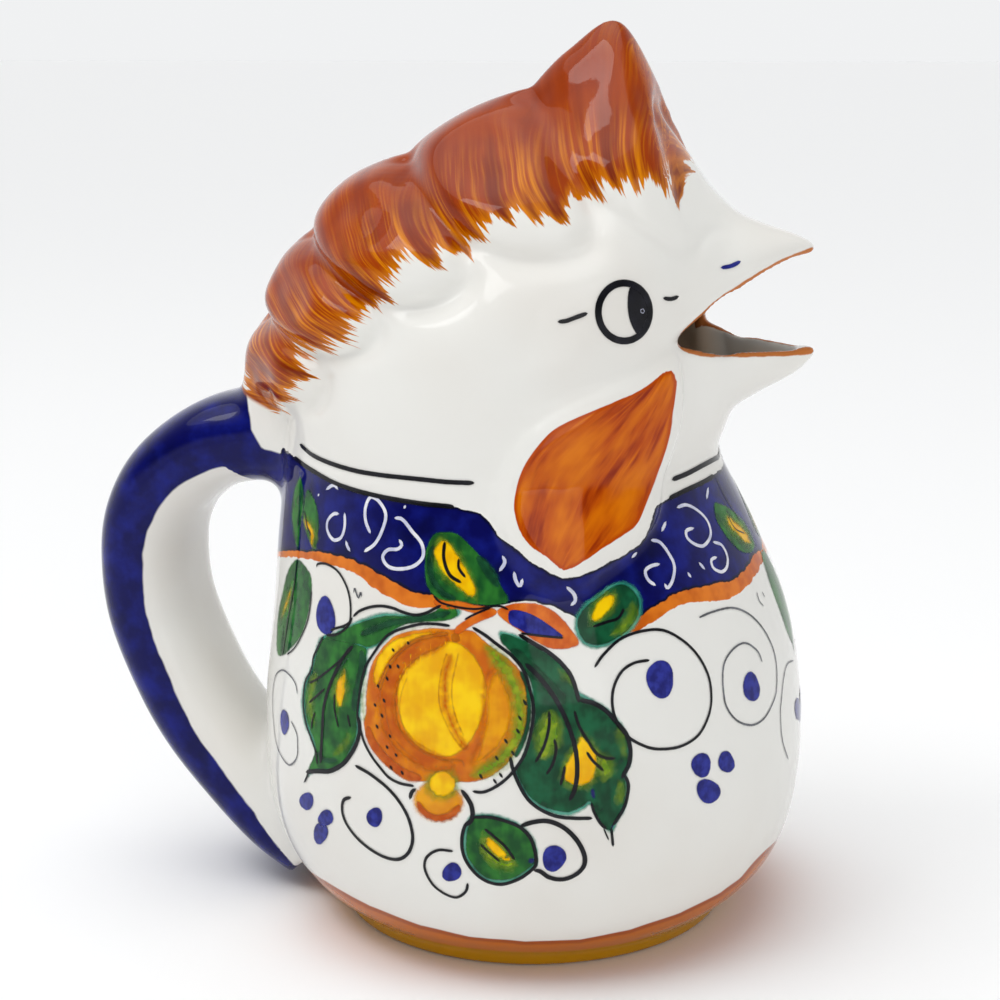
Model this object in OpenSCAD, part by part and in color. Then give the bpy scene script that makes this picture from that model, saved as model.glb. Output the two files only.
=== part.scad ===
// Chicken pitcher, a glazed earthenware jug that pours through its open beak.
// X points to the beak, Z is up, and the origin is the middle of the foot's underside.

/* [Body] */
// Widest diameter of the belly
belly_d = 130; // [112:1:150]
// Height of the neck line above the table
body_h = 111.5; // [100:0.5:130]
// Diameter of the neck at the neck line
neck_d = 102; // [88:1:108]
// How far the neck stands behind the belly's axis
neck_back = 7.6; // [0:0.2:12]
// Thickness of the thrown walls
wall = 4.5; // [3:0.1:6]

/* [Foot] */
// Diameter of the foot
foot_d = 94; // [80:1:106]
// Height of the foot
foot_h = 3; // [2:0.1:5]
// Radius of the foot's rounded edge
foot_round = 1; // [0.4:0.1:1.6]

/* [Head] */
// Height of the head's dome above the neck line
head_h = 65; // [58:1:74]
// How far the cheeks stand out from the middle, one side
cheek_w = 51; // [46:0.5:55]

/* [Comb] */
// Height of the comb's spike above the neck line
comb_h = 99; // [90:1:115]
// Half of the comb's width over the head
comb_w = 42; // [38:0.5:46]
// Depth of the creases between the comb's lobes
comb_crease = 2.6; // [1:0.1:3.6]

/* [Beak] */
// How far the beak stands out in front of the neck
beak_l = 23; // [16:0.5:32]
// Width of the beak at the corners of the mouth
beak_w = 44; // [36:0.5:50]
// Opening of the beak between its two tips
gape = 22; // [14:0.5:28]
// Thickness of the beak's walls
beak_wall = 3; // [2:0.1:4]

/* [Wattles] */
// Length of a wattle from its tip to its round end
wattle_l = 57; // [44:0.5:64]
// Width of a wattle
wattle_w = 34.5; // [26:0.5:40]
// How far a wattle stands out from the neck
wattle_t = 3.2; // [2:0.1:5]
// Angle round the neck from the front to a wattle's tip
wattle_angle = 33.7; // [28:0.5:40]
// Height of a wattle's tip above the neck line
wattle_rise = 27; // [22:0.5:30]
// Slope of a wattle away from upright
wattle_tilt = 36; // [26:1:44]

/* [Handle] */
// How far the handle's middle line stands out from the belly's axis
handle_reach = 97; // [90:1:112]
// Height above the neck line at which the handle leaves the head
handle_rise = 1; // [0:0.5:5]
// Height at which the handle runs into the belly
handle_low = 10.5; // [10:0.5:24]
// Width of the handle, side to side
handle_w = 36; // [26:0.5:40]
// Thickness of the handle, outer face to inner face
handle_t = 22; // [16:0.5:26]

/* [Hidden] */

belly_r = belly_d / 2;
foot_r = foot_d / 2;
neck_r = neck_d / 2;
neck_x = -neck_back;
as_drawn = [0, 0, 0]; // keeps a joined member at the size it is drawn
overrun = wall / 4;   // how far a cut runs past what it cuts
sliver = wall / 16;   // half width at which a tip ends
turns = 44;           // facets round the pot and the head
arch = 28;            // facets round the comb, beak and handle
edges = 12;           // facets down each edge of a wattle

// Height share, then how far the wall has swelled from its foot or neck to the belly
swell_shares = [[0, 0], [0.023, 0.19], [0.06, 0.444], [0.115, 0.694], [0.188, 0.872],
                [0.271, 0.967], [0.364, 1], [0.5, 0.95], [0.667, 0.743], [0.833, 0.414],
                [1, 0]];
belly_share = 0.364;
// Height share, then share of the neck's setback
lean_shares = [[0, 0], [0.5, 0], [0.667, 0.11], [0.833, 0.52], [1, 1]];
// Height share, forward shift, half length and half width of the head
dome_shares = [[0, 0, 1, 1], [0.138, 0.016, 1.006, 0.996], [0.292, 0.045, 0.992, 0.98],
               [0.446, 0.104, 0.941, 0.951], [0.6, 0.208, 0.843, 0.882],
               [0.723, 0.325, 0.725, 0.784], [0.83, 0.443, 0.569, 0.647],
               [0.923, 0.541, 0.392, 0.47], [0.97, 0.58, 0.255, 0.304], [1, 0.6, 0.01, 0.01]];
// Way along the comb, its ridge ahead and up, its root ahead and up, its half width, its
// narrowing towards the ridge. Lengths ahead are shares of the neck, the ridge's heights of
// the comb and the root's of the head.
comb_shares = [[0, -0.95, 0.03, -0.74, 0.107, 0.3, 1],
               [0.06, -1.19, 0.11, -0.75, 0.183, 0.62, 1],
               [0.14, -1.21, 0.22, -0.7, 0.259, 0.78, 1],
               [0.22, -1.15, 0.325, -0.6, 0.366, 0.88, 1.05],
               [0.32, -1.06, 0.42, -0.48, 0.465, 0.95, 1.1],
               [0.42, -0.93, 0.525, -0.34, 0.556, 0.98, 1.1],
               [0.52, -0.73, 0.63, -0.14, 0.647, 1, 1.15],
               [0.62, -0.46, 0.71, 0.1, 0.739, 0.96, 1.2],
               [0.71, -0.17, 0.79, 0.37, 0.8, 0.9, 1.25],
               [0.8, 0.115, 0.865, 0.62, 0.845, 0.78, 1.45],
               [0.86, 0.31, 0.94, 0.74, 0.853, 0.7, 1.7],
               [0.91, 0.53, 1, 0.82, 0.845, 0.63, 1.8],
               [0.95, 0.69, 0.88, 0.89, 0.822, 0.56, 1.5],
               [0.975, 0.73, 0.79, 0.92, 0.8, 0.49, 1.3],
               [1, 0.865, 0.695, 0.95, 0.777, 0.42, 1.1],
               [1.03, 0.96, 0.62, 0.99, 0.792, 0.24, 1],
               [1.045, 1.02, 0.57, 1.01, 0.807, 0.05, 1]];
// Places of the creases along the comb, then where its outside and its hollow start and end
crease_shares = [0, 0.22, 0.42, 0.62, 0.8, 1.045];
comb_span_shares = [0, 1.045];
hollow_span_shares = [0.1, 0.89];
lobe_power = 0.55;   // less makes the lobes fuller and the creases sharper
root_share = 0.4;    // depth of the comb below its root line, as a share of its rise
// Way along a beak half, its keel ahead and up, its edge ahead and up, its half width.
// Lengths ahead are shares of the beak from the neck's front, heights of the gape.
upper_shares = [[0, -0.6, 1.42, -0.95, -0.2, 1.1], [0.25, -0.1, 1.36, -0.5, 0, 1.05],
                [0.45, 0.14, 1.27, -0.15, 0.15, 0.95], [0.65, 0.46, 1.14, 0.18, 0.42, 0.72],
                [0.85, 0.78, 1.035, 0.62, 0.72, 0.36], [1, 0.98, 0.93, 0.97, 0.87, 0.03]];
lower_shares = [[0, -0.6, -1.2, -0.95, -0.04, 1.15], [0.3, -0.04, -1.08, -0.45, -0.03, 1.06],
                [0.5, 0.18, -0.8, -0.1, -0.04, 0.94], [0.7, 0.46, -0.6, 0.24, -0.085, 0.66],
                [0.88, 0.82, -0.38, 0.68, -0.11, 0.32], [1, 1, -0.18, 1.01, -0.12, 0.03]];
// Corner of the mouth in the side of the head, ahead and up
gap_shares = [[-0.265, 0.03], [-0.225, 0.11], [-0.104, 0.21], [0.2, 0.436], [0.2, -0.075],
              [-0.104, -0.045], [-0.235, -0.02]];
mouth_share = 0.44;  // height of the lower rim on the head
cavity_share = 0.9;  // how far the hollow of a beak half runs towards its tip
throat_share = 0.5;  // how far the way from the head runs into the beak
// Way down a wattle, then its edges towards the back and the front, in shares of its width
wattle_shares = [[0, 0.02, 0.02], [0.08, 0.1, 0.2], [0.16, 0.2, 0.31], [0.28, 0.345, 0.4],
                 [0.45, 0.5, 0.45], [0.59, 0.55, 0.43], [0.72, 0.5, 0.34], [0.85, 0.42, 0.23],
                 [0.94, 0.29, 0.16], [1, 0.08, 0.06]];
// Size of a wattle's pad and its height off the skin, from its rim to its middle
pad_shares = [[1, 0.4], [0.93, 0.8], [0.8, 1], [0.4, 1.1], [0.1, 1.12]];
// Way along the handle, how far out and how far up its middle line lies
handle_shares = [[0, 0.6, 1], [0.09, 0.7, 1], [0.19, 0.814, 0.971], [0.29, 0.924, 0.894],
                 [0.38, 0.982, 0.802], [0.46, 1, 0.706], [0.57, 0.988, 0.564],
                 [0.68, 0.928, 0.409], [0.78, 0.856, 0.284], [0.86, 0.757, 0.167],
                 [0.93, 0.654, 0.065], [1, 0.557, 0]];
handle_power = 2.5; // 2 is an oval section, more is squarer

// A smooth row of values at place t in a table whose first column is the place
function cell(rows, t, i = 0) =
    i >= len(rows) - 2 || t < rows[i + 1][0] ? i : cell(rows, t, i + 1);
function slope(rows, i) =
    let (a = max(i - 1, 0), b = min(i + 1, len(rows) - 1))
    (rows[b] - rows[a]) / (rows[b][0] - rows[a][0]);
function flow(rows, t) =
    let (i = cell(rows, t), a = rows[i], b = rows[i + 1], h = b[0] - a[0], u = (t - a[0]) / h)
    a * (2 * u * u * u - 3 * u * u + 1) + slope(rows, i) * h * (u * u * u - 2 * u * u + u)
    + b * (3 * u * u - 2 * u * u * u) + slope(rows, i + 1) * h * (u * u * u - u * u);

function signed_power(v, p) = sign(v) * pow(abs(v), p);
function steps(n) = [for (i = [0:n]) i / n];

// Skin of the pot below the neck line: a round section at height z, grown by grow
function pot_t(z) = (z - foot_h) / (body_h - foot_h);
function pot_r(z) =
    let (t = pot_t(z), base = t < belly_share ? foot_r : neck_r)
    base + (belly_r - base) * flow(swell_shares, t)[1];
function pot_x(z) = neck_x * flow(lean_shares, pot_t(z))[1];
function pot_ring(z, grow = 0) =
    [for (i = [0:turns - 1]) let (a = 360 * i / turns)
        [pot_x(z) + (pot_r(z) + grow) * cos(a), (pot_r(z) + grow) * sin(a), z]];

// Skin of the head above the neck line: an oval section at share t of its height
function dome(t) = flow(dome_shares, t);
function dome_ring(t, grow = 0) =
    let (d = dome(t), long = max(neck_r * d[2] + grow, overrun),
         wide = max(cheek_w * d[3] + grow, overrun))
    [for (i = [0:turns - 1]) let (a = 360 * i / turns)
        [neck_x + neck_r * d[1] + long * cos(a), wide * sin(a), body_h + head_h * t]];

// A closed skin through rings of equally many points, with a flat face at each end
module loft(rings) {
    n = len(rings[0]);
    last = (len(rings) - 1) * n;
    sides = [for (k = [0:len(rings) - 2]) for (i = [0:n - 1])
        let (a = k * n + i, b = k * n + (i + 1) % n) each [[a, a + n, b], [b, a + n, b + n]]];
    polyhedron([for (r = rings) each r],
               concat(sides, [[for (i = [0:n - 1]) i], [for (i = [n - 1:-1:0]) last + i]]));
}

function pot_heights() = [for (s = steps(26)) foot_h + (body_h - foot_h) * pow(s, 1.25)];

// Outside of the pot as one solid, up to rise above the neck line
module pot_solid(grow = 0) {
    loft([for (z = pot_heights()) pot_ring(z, grow)]);
}

module foot() {
    color("goldenrod") rotate_extrude($fn = 96) {
        difference() {
            square([foot_r, foot_h]);
            translate([foot_r - foot_round, 0]) square(foot_round);
        }
        translate([foot_r - foot_round, foot_round]) circle(foot_round, $fn = 32);
    }
}

module body_shell() {
    inside = [for (z = pot_heights()) if (z > foot_h + wall) z];
    color("ghostwhite") loft(concat(
        [for (z = pot_heights()) pot_ring(z)],
        [for (i = [len(inside) - 1:-1:0]) pot_ring(inside[i], -wall)],
        [pot_ring(foot_h + wall, -wall - foot_round)]));
}

module dome_solid(grow = 0) {
    loft([for (t = steps(22)) dome_ring(pow(t, 0.9), grow)]);
}

// Everything inside the skin of the pot and the head, which the outer members are cut to
module core() {
    pot_solid();
    dome_solid();
    translate([0, 0, -overrun]) dome_solid();
}

// Section of the comb at share s of its way, cut back by inset on every side
function comb_lobe(s) =
    let (i = cell([for (c = crease_shares) [c]], s),
         u = (s - crease_shares[i]) / (crease_shares[i + 1] - crease_shares[i]))
    pow(max(sin(180 * u), 0), lobe_power);
function comb_ring(s, inset = 0) =
    let (c = flow(comb_shares, s),
         ridge = [c[1] * neck_r, c[2] * comb_h], root = [c[3] * neck_r, c[4] * head_h],
         way = ridge - root, rise = norm(way), up = way / rise,
         shrink = inset + comb_crease * (1 - comb_lobe(s)),
         high = max(rise - shrink, overrun), wide = max(comb_w * c[5] - shrink, overrun))
    [for (i = [0:arch - 1]) let (a = 360 * i / arch, v = high * sin(a) * (sin(a) < 0 ? root_share : 1))
        [neck_x + root[0] + up[0] * v,
         wide * signed_power(cos(a), sin(a) > 0 ? c[6] : 1),
         body_h + root[1] + up[1] * v]];

module comb_solid(inset = 0) {
    span = inset > 0 ? hollow_span_shares : comb_span_shares;
    loft([for (s = steps(52)) comb_ring(span[0] + (span[1] - span[0]) * s, inset)]);
}

// One half of the beak: arches from edge to edge over its keel, upwards or downwards
function beak_ring(rows, p, inset = 0) =
    let (b = flow(rows, p), front = neck_x + neck_r, rim = body_h + head_h * mouth_share,
         keel = [front + b[1] * beak_l, rim + b[2] * gape],
         edge = [front + b[3] * beak_l, rim + b[4] * gape],
         way = keel - edge, rise = norm(way), up = way / rise, side = sign(rows[0][2]),
         high = max(rise - inset, sliver), wide = side * max(beak_w / 2 * b[5] - inset, sliver),
         open = [edge[0] - up[0] * inset, edge[1] - up[1] * inset])
    concat([for (i = inset > 0 ? [1:arch / 2 - 1] : [0:arch / 2]) let (a = 360 * i / arch)
        [edge[0] + up[0] * high * sin(a), wide * cos(a), edge[1] + up[1] * high * sin(a)]],
        inset > 0 ? [[open[0], -wide, open[1]], [open[0], wide, open[1]]] : []);

module beak_solid(rows, inset = 0) {
    last = inset > 0 ? cavity_share : 1;
    loft([for (p = steps(18)) beak_ring(rows, p * last, inset)]);
}

// Way from the head into the open beak
module mouth() {
    hull() {
        loft([for (p = steps(4)) beak_ring(upper_shares, p * throat_share, beak_wall)]);
        loft([for (p = steps(4)) beak_ring(lower_shares, p * throat_share, beak_wall)]);
    }
}

module mouth_corner() {
    points = [for (g = gap_shares)
        [neck_x + neck_r + g[0] * beak_l, body_h + head_h * mouth_share + g[1] * gape]];
    rotate([90, 0, 0]) linear_extrude(2 * neck_r, center = true) polygon(points);
}

module head_shell() {
    color("white") resize(as_drawn) difference() {
        dome_solid();
        intersection() {
            translate([0, 0, -overrun]) dome_solid(-wall);
            dome_solid();
        }
        translate([0, 0, -overrun]) linear_extrude(wall)
            polygon([for (p = dome_ring(0, -wall)) [p[0], p[1]]]);
        comb_solid(wall);
        mouth();
        mouth_corner();
    }
}

module comb() {
    color("chocolate") resize(as_drawn) difference() {
        comb_solid();
        comb_solid(wall);
        core();
    }
}

module upper_beak() {
    color("floralwhite") resize(as_drawn) difference() {
        beak_solid(upper_shares);
        beak_solid(upper_shares, beak_wall);
        core();
        comb_solid();
    }
}

module lower_beak() {
    color("floralwhite") resize(as_drawn) difference() {
        beak_solid(lower_shares);
        beak_solid(lower_shares, beak_wall);
        core();
    }
}

// A place on the skin at angle a and height z, lifted by lift
function skin(a, z, lift) =
    z < body_h
        ? [pot_x(z) + (pot_r(z) + lift) * cos(a), (pot_r(z) + lift) * sin(a), z]
        : let (d = dome((z - body_h) / head_h))
          [neck_x + neck_r * d[1] + (neck_r * d[2] + lift) * cos(a),
           (cheek_w * d[3] + lift) * sin(a), z];

// Outline of a wattle in the skin, shrunk to q of its size and lifted off the skin
function wattle_edge(q) =
    [for (side = [-1, 1]) for (i = [0:edges - 1])
        let (t = side < 0 ? i / edges : 1 - i / edges, row = flow(wattle_shares, t))
        [q * side * wattle_w * row[side < 0 ? 1 : 2], wattle_l * (0.5 + q * (t - 0.5))]];
function wattle_ring(q, lift) =
    [for (e = wattle_edge(q))
        let (along = e[0] * cos(wattle_tilt) - e[1] * sin(wattle_tilt),
             down = e[0] * sin(wattle_tilt) + e[1] * cos(wattle_tilt))
        skin(-wattle_angle + along / neck_r * 180 / PI, body_h + wattle_rise - down, lift)];

module wattle_right() {
    color("peru") resize(as_drawn) difference() {
        loft(concat([wattle_ring(1, -wall / 2)],
                    [for (p = pad_shares) wattle_ring(p[0], wattle_t * p[1])]));
        core();
        lower_beak();
    }
}

module wattle_left() {
    mirror([0, 1, 0]) wattle_right();
}

// Middle line and sections of the handle
function handle_way(s) =
    let (h = flow(handle_shares, s))
    [-handle_reach * h[1], handle_low + (body_h + handle_rise - handle_low) * h[2]];
function handle_ring(s) =
    let (c = handle_way(s), d = handle_way(min(s + 0.01, 1)) - handle_way(max(s - 0.01, 0)),
         out = [d[1], -d[0]] / norm(d))
    [for (i = [0:arch - 1]) let (a = 360 * i / arch,
         v = handle_t / 2 * signed_power(cos(a), 2 / handle_power))
        [c[0] + out[0] * v, handle_w / 2 * signed_power(sin(a), 2 / handle_power), c[1] + out[1] * v]];

module handle() {
    color("navy") resize(as_drawn) difference() {
        loft([for (s = steps(42)) handle_ring(s)]);
        core();
        comb_solid();
    }
}

foot();
body_shell();
head_shell();
comb();
upper_beak();
lower_beak();
wattle_right();
wattle_left();
handle();
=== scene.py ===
# Chicken pitcher in tin-glazed earthenware: the members of the CAD frame joined under one
# soft glaze, then painted by brush. Lengths are millimetres until a mesh is made.
import math
import bpy
import numpy as np
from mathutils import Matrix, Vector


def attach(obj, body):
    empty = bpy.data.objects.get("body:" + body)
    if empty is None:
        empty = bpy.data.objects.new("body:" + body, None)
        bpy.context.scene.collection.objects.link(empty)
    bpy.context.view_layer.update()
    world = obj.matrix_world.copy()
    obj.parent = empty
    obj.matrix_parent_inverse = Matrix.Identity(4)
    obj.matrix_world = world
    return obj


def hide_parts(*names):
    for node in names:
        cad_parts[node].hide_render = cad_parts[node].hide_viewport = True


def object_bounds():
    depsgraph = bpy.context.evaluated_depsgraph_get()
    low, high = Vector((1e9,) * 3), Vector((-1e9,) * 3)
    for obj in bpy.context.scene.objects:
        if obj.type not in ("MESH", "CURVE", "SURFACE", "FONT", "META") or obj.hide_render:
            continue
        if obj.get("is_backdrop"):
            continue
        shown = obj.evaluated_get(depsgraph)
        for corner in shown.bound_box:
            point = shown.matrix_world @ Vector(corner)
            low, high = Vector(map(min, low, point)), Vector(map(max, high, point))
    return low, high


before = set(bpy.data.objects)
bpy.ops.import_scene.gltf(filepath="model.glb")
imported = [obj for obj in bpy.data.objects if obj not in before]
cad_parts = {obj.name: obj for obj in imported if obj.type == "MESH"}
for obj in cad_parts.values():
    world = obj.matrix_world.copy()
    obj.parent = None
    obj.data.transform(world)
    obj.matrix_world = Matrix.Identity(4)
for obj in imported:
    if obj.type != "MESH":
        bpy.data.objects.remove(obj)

import openvdb
from mathutils import Vector
from mathutils.bvhtree import BVHTree
from mathutils.geometry import delaunay_2d_cdt

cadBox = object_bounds()
mm = 0.001


# Smooth rows of values at each place, from a table whose first column is the place
def flow(rows, places):
    rows = np.asarray(rows, float)
    t = np.atleast_1d(np.asarray(places, float))
    i = np.clip(np.searchsorted(rows[:, 0], t, side="right") - 1, 0, len(rows) - 2)
    before = np.maximum(np.arange(len(rows)) - 1, 0)
    after = np.minimum(np.arange(len(rows)) + 1, len(rows) - 1)
    slopes = (rows[after] - rows[before]) / (rows[after, 0] - rows[before, 0])[:, None]
    step = (rows[i + 1, 0] - rows[i, 0])[:, None]
    u = (t - rows[i, 0])[:, None] / step
    return (rows[i] * (2 * u**3 - 3 * u**2 + 1) + slopes[i] * step * (u**3 - 2 * u**2 + u)
            + rows[i + 1] * (3 * u**2 - 2 * u**3) + slopes[i + 1] * step * (u**3 - u**2))


def signedPower(value, power):
    return np.sign(value) * np.abs(value) ** power


# Unit circle as two columns, from the first angle on
def circle(count):
    turn = np.linspace(0, 2 * math.pi, count, endpoint=False)
    return np.cos(turn), np.sin(turn)


# Closed skin through rings of equally many points: points, quads and end triangles
def loft(rings):
    rings = np.asarray(rings, float)
    count, around = rings.shape[:2]
    points = np.concatenate([rings.reshape(-1, 3), rings[:1].mean(1), rings[-1:].mean(1)])
    row, col = np.meshgrid(np.arange(count - 1), np.arange(around), indexing="ij")
    a = row * around + col
    b = row * around + (col + 1) % around
    quads = np.stack([a, a + around, b + around, b], -1).reshape(-1, 4)
    here = np.arange(around)
    there = (here + 1) % around
    foot = np.stack([np.full(around, count * around), here, there], -1)
    last = (count - 1) * around
    top = np.stack([np.full(around, count * around + 1), last + there, last + here], -1)
    return points, quads, np.concatenate([foot, top])


# The thrown pot and head. The tables repeat the frame's, as shares of these sizes.
pot = {
    "bellyR": 65, "neckR": 51, "footR": 47, "footHigh": 3, "footRound": 1, "neckHigh": 111.5,
    "neckBack": 7.6, "wall": 4.5, "bellyShare": 0.364,
    "swell": [(0, 0), (0.023, 0.19), (0.06, 0.444), (0.115, 0.694), (0.188, 0.872), (0.271, 0.967),
              (0.364, 1), (0.5, 0.95), (0.667, 0.743), (0.833, 0.414), (1, 0)],
    "lean": [(0, 0), (0.5, 0), (0.667, 0.11), (0.833, 0.52), (1, 1)],
}
head = {
    "high": 65, "cheek": 51,
    "dome": [(0, 0, 1, 1), (0.138, 0.016, 1.006, 0.996), (0.292, 0.045, 0.992, 0.98),
             (0.446, 0.104, 0.941, 0.951), (0.6, 0.208, 0.843, 0.882), (0.723, 0.325, 0.725, 0.784),
             (0.83, 0.443, 0.569, 0.647), (0.923, 0.541, 0.392, 0.47), (0.97, 0.58, 0.255, 0.304),
             (1, 0.6, 0.01, 0.01)],
}
neckX = -pot["neckBack"]
neckFront = neckX + pot["neckR"]


# Middle and radius of the pot at height z
def potSection(z):
    share = (np.asarray(z, float) - pot["footHigh"]) / (pot["neckHigh"] - pot["footHigh"])
    base = np.where(share < pot["bellyShare"], pot["footR"], pot["neckR"])
    radius = base + (pot["bellyR"] - base) * flow(pot["swell"], share)[:, 1]
    return neckX * flow(pot["lean"], share)[:, 1], radius


def potRings(heights, grow=0.0):
    x, radius = potSection(heights)
    cos, sin = circle(320)
    ring = np.empty((len(heights), len(cos), 3))
    ring[..., 0] = x[:, None] + (radius + grow)[:, None] * cos
    ring[..., 1] = (radius + grow)[:, None] * sin
    ring[..., 2] = np.asarray(heights)[:, None]
    return ring


def footRings():
    cos, sin = circle(320)
    turn = np.linspace(0, math.pi / 2, 8)
    radius = pot["footR"] - pot["footRound"] * (1 - np.sin(turn))
    z = pot["footRound"] * (1 - np.cos(turn))
    return np.stack([radius[:, None] * cos, radius[:, None] * sin,
                     np.repeat(z[:, None], len(cos), 1)], -1)


def domeRings(shares, grow=0.0, drop=0.0):
    row = flow(head["dome"], shares)
    cos, sin = circle(320)
    long = np.maximum(pot["neckR"] * row[:, 2] + grow, 0.3)[:, None]
    wide = np.maximum(head["cheek"] * row[:, 3] + grow, 0.3)[:, None]
    z = pot["neckHigh"] + head["high"] * np.asarray(shares) - drop
    return np.stack([neckX + pot["neckR"] * row[:, 1:2] + long * cos, wide * sin,
                     np.repeat(z[:, None], len(cos), 1)], -1)


# The comb runs from the nape to the forehead in five lobes
comb = {
    "high": 99, "wide": 42, "crease": 2.6, "lobePower": 0.55, "rootShare": 0.4,
    "way": [(0, -0.95, 0.03, -0.74, 0.07, 0.3, 1), (0.06, -1.19, 0.11, -0.75, 0.12, 0.62, 1),
            (0.14, -1.21, 0.22, -0.7, 0.17, 0.78, 1), (0.22, -1.15, 0.325, -0.6, 0.24, 0.88, 1.05),
            (0.32, -1.06, 0.42, -0.48, 0.305, 0.95, 1.1), (0.42, -0.93, 0.525, -0.34, 0.365, 0.98, 1.1),
            (0.52, -0.73, 0.63, -0.14, 0.425, 1, 1.15), (0.62, -0.46, 0.71, 0.1, 0.485, 0.96, 1.2),
            (0.71, -0.17, 0.79, 0.37, 0.525, 0.9, 1.25), (0.8, 0.115, 0.865, 0.62, 0.555, 0.78, 1.45),
            (0.86, 0.31, 0.94, 0.74, 0.56, 0.7, 1.7), (0.91, 0.53, 1, 0.82, 0.555, 0.63, 1.8),
            (0.95, 0.69, 0.88, 0.89, 0.54, 0.56, 1.5), (0.975, 0.73, 0.79, 0.92, 0.525, 0.49, 1.3),
            (1, 0.865, 0.695, 0.95, 0.51, 0.42, 1.1), (1.03, 0.96, 0.62, 0.99, 0.52, 0.24, 1),
            (1.045, 1.02, 0.57, 1.01, 0.53, 0.05, 1)],
    "creases": (0, 0.22, 0.42, 0.62, 0.8, 1.045), "hollow": (0.1, 0.89),
}


def combRings(inset=0.0):
    start, end = comb["hollow"] if inset else (comb["creases"][0], comb["creases"][-1])
    shares = np.linspace(start, end, 260)
    row = flow(comb["way"], shares)
    size = np.array([pot["neckR"], comb["high"]])
    ridge, root = row[:, 1:3] * size, row[:, 3:5] * size
    rise = np.linalg.norm(ridge - root, axis=1)
    up = (ridge - root) / rise[:, None]
    lobe = np.interp(shares, comb["creases"], np.arange(len(comb["creases"]))) % 1
    lobe = np.abs(np.sin(math.pi * lobe)) ** comb["lobePower"]
    shrink = inset + comb["crease"] * (1 - lobe)
    high, wide = np.maximum(rise - shrink, 0.5), np.maximum(comb["wide"] * row[:, 5] - shrink, 0.5)
    cos, sin = circle(112)
    lift = high[:, None] * sin * np.where(sin < 0, comb["rootShare"], 1)
    narrow = np.where(sin > 0, row[:, 6:7], 1)
    return np.stack([neckX + root[:, :1] + up[:, :1] * lift, wide[:, None] * signedPower(cos, narrow),
                     pot["neckHigh"] + root[:, 1:] + up[:, 1:] * lift], -1)


# The two halves of the open beak
beak = {
    "long": 23, "wide": 44, "gape": 22, "wall": 3, "rimShare": 0.44, "cavityShare": 0.9, "throatShare": 0.5,
    "upper": [(0, -0.6, 1.42, -0.95, -0.2, 1.1), (0.25, -0.1, 1.36, -0.5, 0, 1.05),
              (0.45, 0.14, 1.27, -0.15, 0.15, 0.95), (0.65, 0.46, 1.14, 0.18, 0.42, 0.72),
              (0.85, 0.78, 1.035, 0.62, 0.72, 0.36), (1, 0.98, 0.93, 0.97, 0.87, 0.03)],
    "lower": [(0, -0.6, -1.2, -0.95, -0.04, 1.15), (0.3, -0.04, -1.08, -0.45, -0.03, 1.06),
              (0.5, 0.18, -0.8, -0.1, -0.04, 0.94), (0.7, 0.46, -0.6, 0.24, -0.085, 0.66),
              (0.88, 0.82, -0.38, 0.68, -0.11, 0.32), (1, 1, -0.18, 1.01, -0.12, 0.03)],
    "corner": [(-0.265, 0.03), (-0.225, 0.11), (-0.104, 0.21), (0.2, 0.436), (0.2, -0.075),
               (-0.104, -0.045), (-0.235, -0.02)],
}
rimHigh = pot["neckHigh"] + head["high"] * beak["rimShare"]


def beakArches(rows, shares, inset=0.0):
    row = flow(rows, shares)
    size = np.array([beak["long"], beak["gape"]])
    start = np.array([neckFront, rimHigh])
    keel, edge = start + row[:, 1:3] * size, start + row[:, 3:5] * size
    rise = np.linalg.norm(keel - edge, axis=1)[:, None]
    up = (keel - edge) / rise
    high = np.maximum(rise - inset, 0.3)
    wide = np.maximum(beak["wide"] / 2 * row[:, 5:6] - inset, 0.3)
    turn = np.linspace(0, math.pi, 61)
    arch = np.stack([edge[:, :1] + up[:, :1] * high * np.sin(turn), wide * np.cos(turn),
                     edge[:, 1:] + up[:, 1:] * high * np.sin(turn)], -1)
    return arch, edge, up, wide


# A half of the beak, closed by a lid at its edge, which goes past the edge by open
def beakRings(rows, last=1.0, inset=0.0, open=0.0):
    arch, edge, up, wide = beakArches(rows, np.linspace(0, last, 90), inset)
    lid = np.linspace(-1, 1, 25)
    lid = np.stack([np.repeat(edge[:, :1] - up[:, :1] * open, 25, 1), wide * lid,
                    np.repeat(edge[:, 1:] - up[:, 1:] * open, 25, 1)], -1)
    return np.concatenate([arch, lid], 1)


def throatRings():
    shares = np.linspace(0, beak["throatShare"], 30)
    upper = beakArches(beak["upper"], shares, beak["wall"])[0]
    lower = beakArches(beak["lower"], shares, beak["wall"])[0]
    return np.concatenate([upper, lower[:, ::-1]], 1)


def cornerRings():
    outline = np.array(beak["corner"]) * (beak["long"], beak["gape"]) + (neckFront, rimHigh)
    sides = np.array([-pot["neckR"], pot["neckR"]])
    return np.stack([np.insert(outline, 1, y, axis=1) for y in sides])


# A wattle is a raised teardrop on the neck, drawn in the unrolled skin
wattle = {
    "long": 57, "wide": 34.5, "thick": 3.2, "turn": 33.7, "rise": 27, "tilt": 36,
    "outline": [(0, 0.02, 0.02), (0.08, 0.1, 0.2), (0.16, 0.2, 0.31), (0.28, 0.345, 0.4),
                (0.45, 0.5, 0.45), (0.59, 0.55, 0.43), (0.72, 0.5, 0.34), (0.85, 0.42, 0.23),
                (0.94, 0.29, 0.16), (1, 0.08, 0.06)],
    "pad": [(1, -1.4), (1, 0.25), (0.97, 0.55), (0.92, 0.8), (0.8, 1), (0.4, 1.1), (0.1, 1.12)],
}


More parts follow.
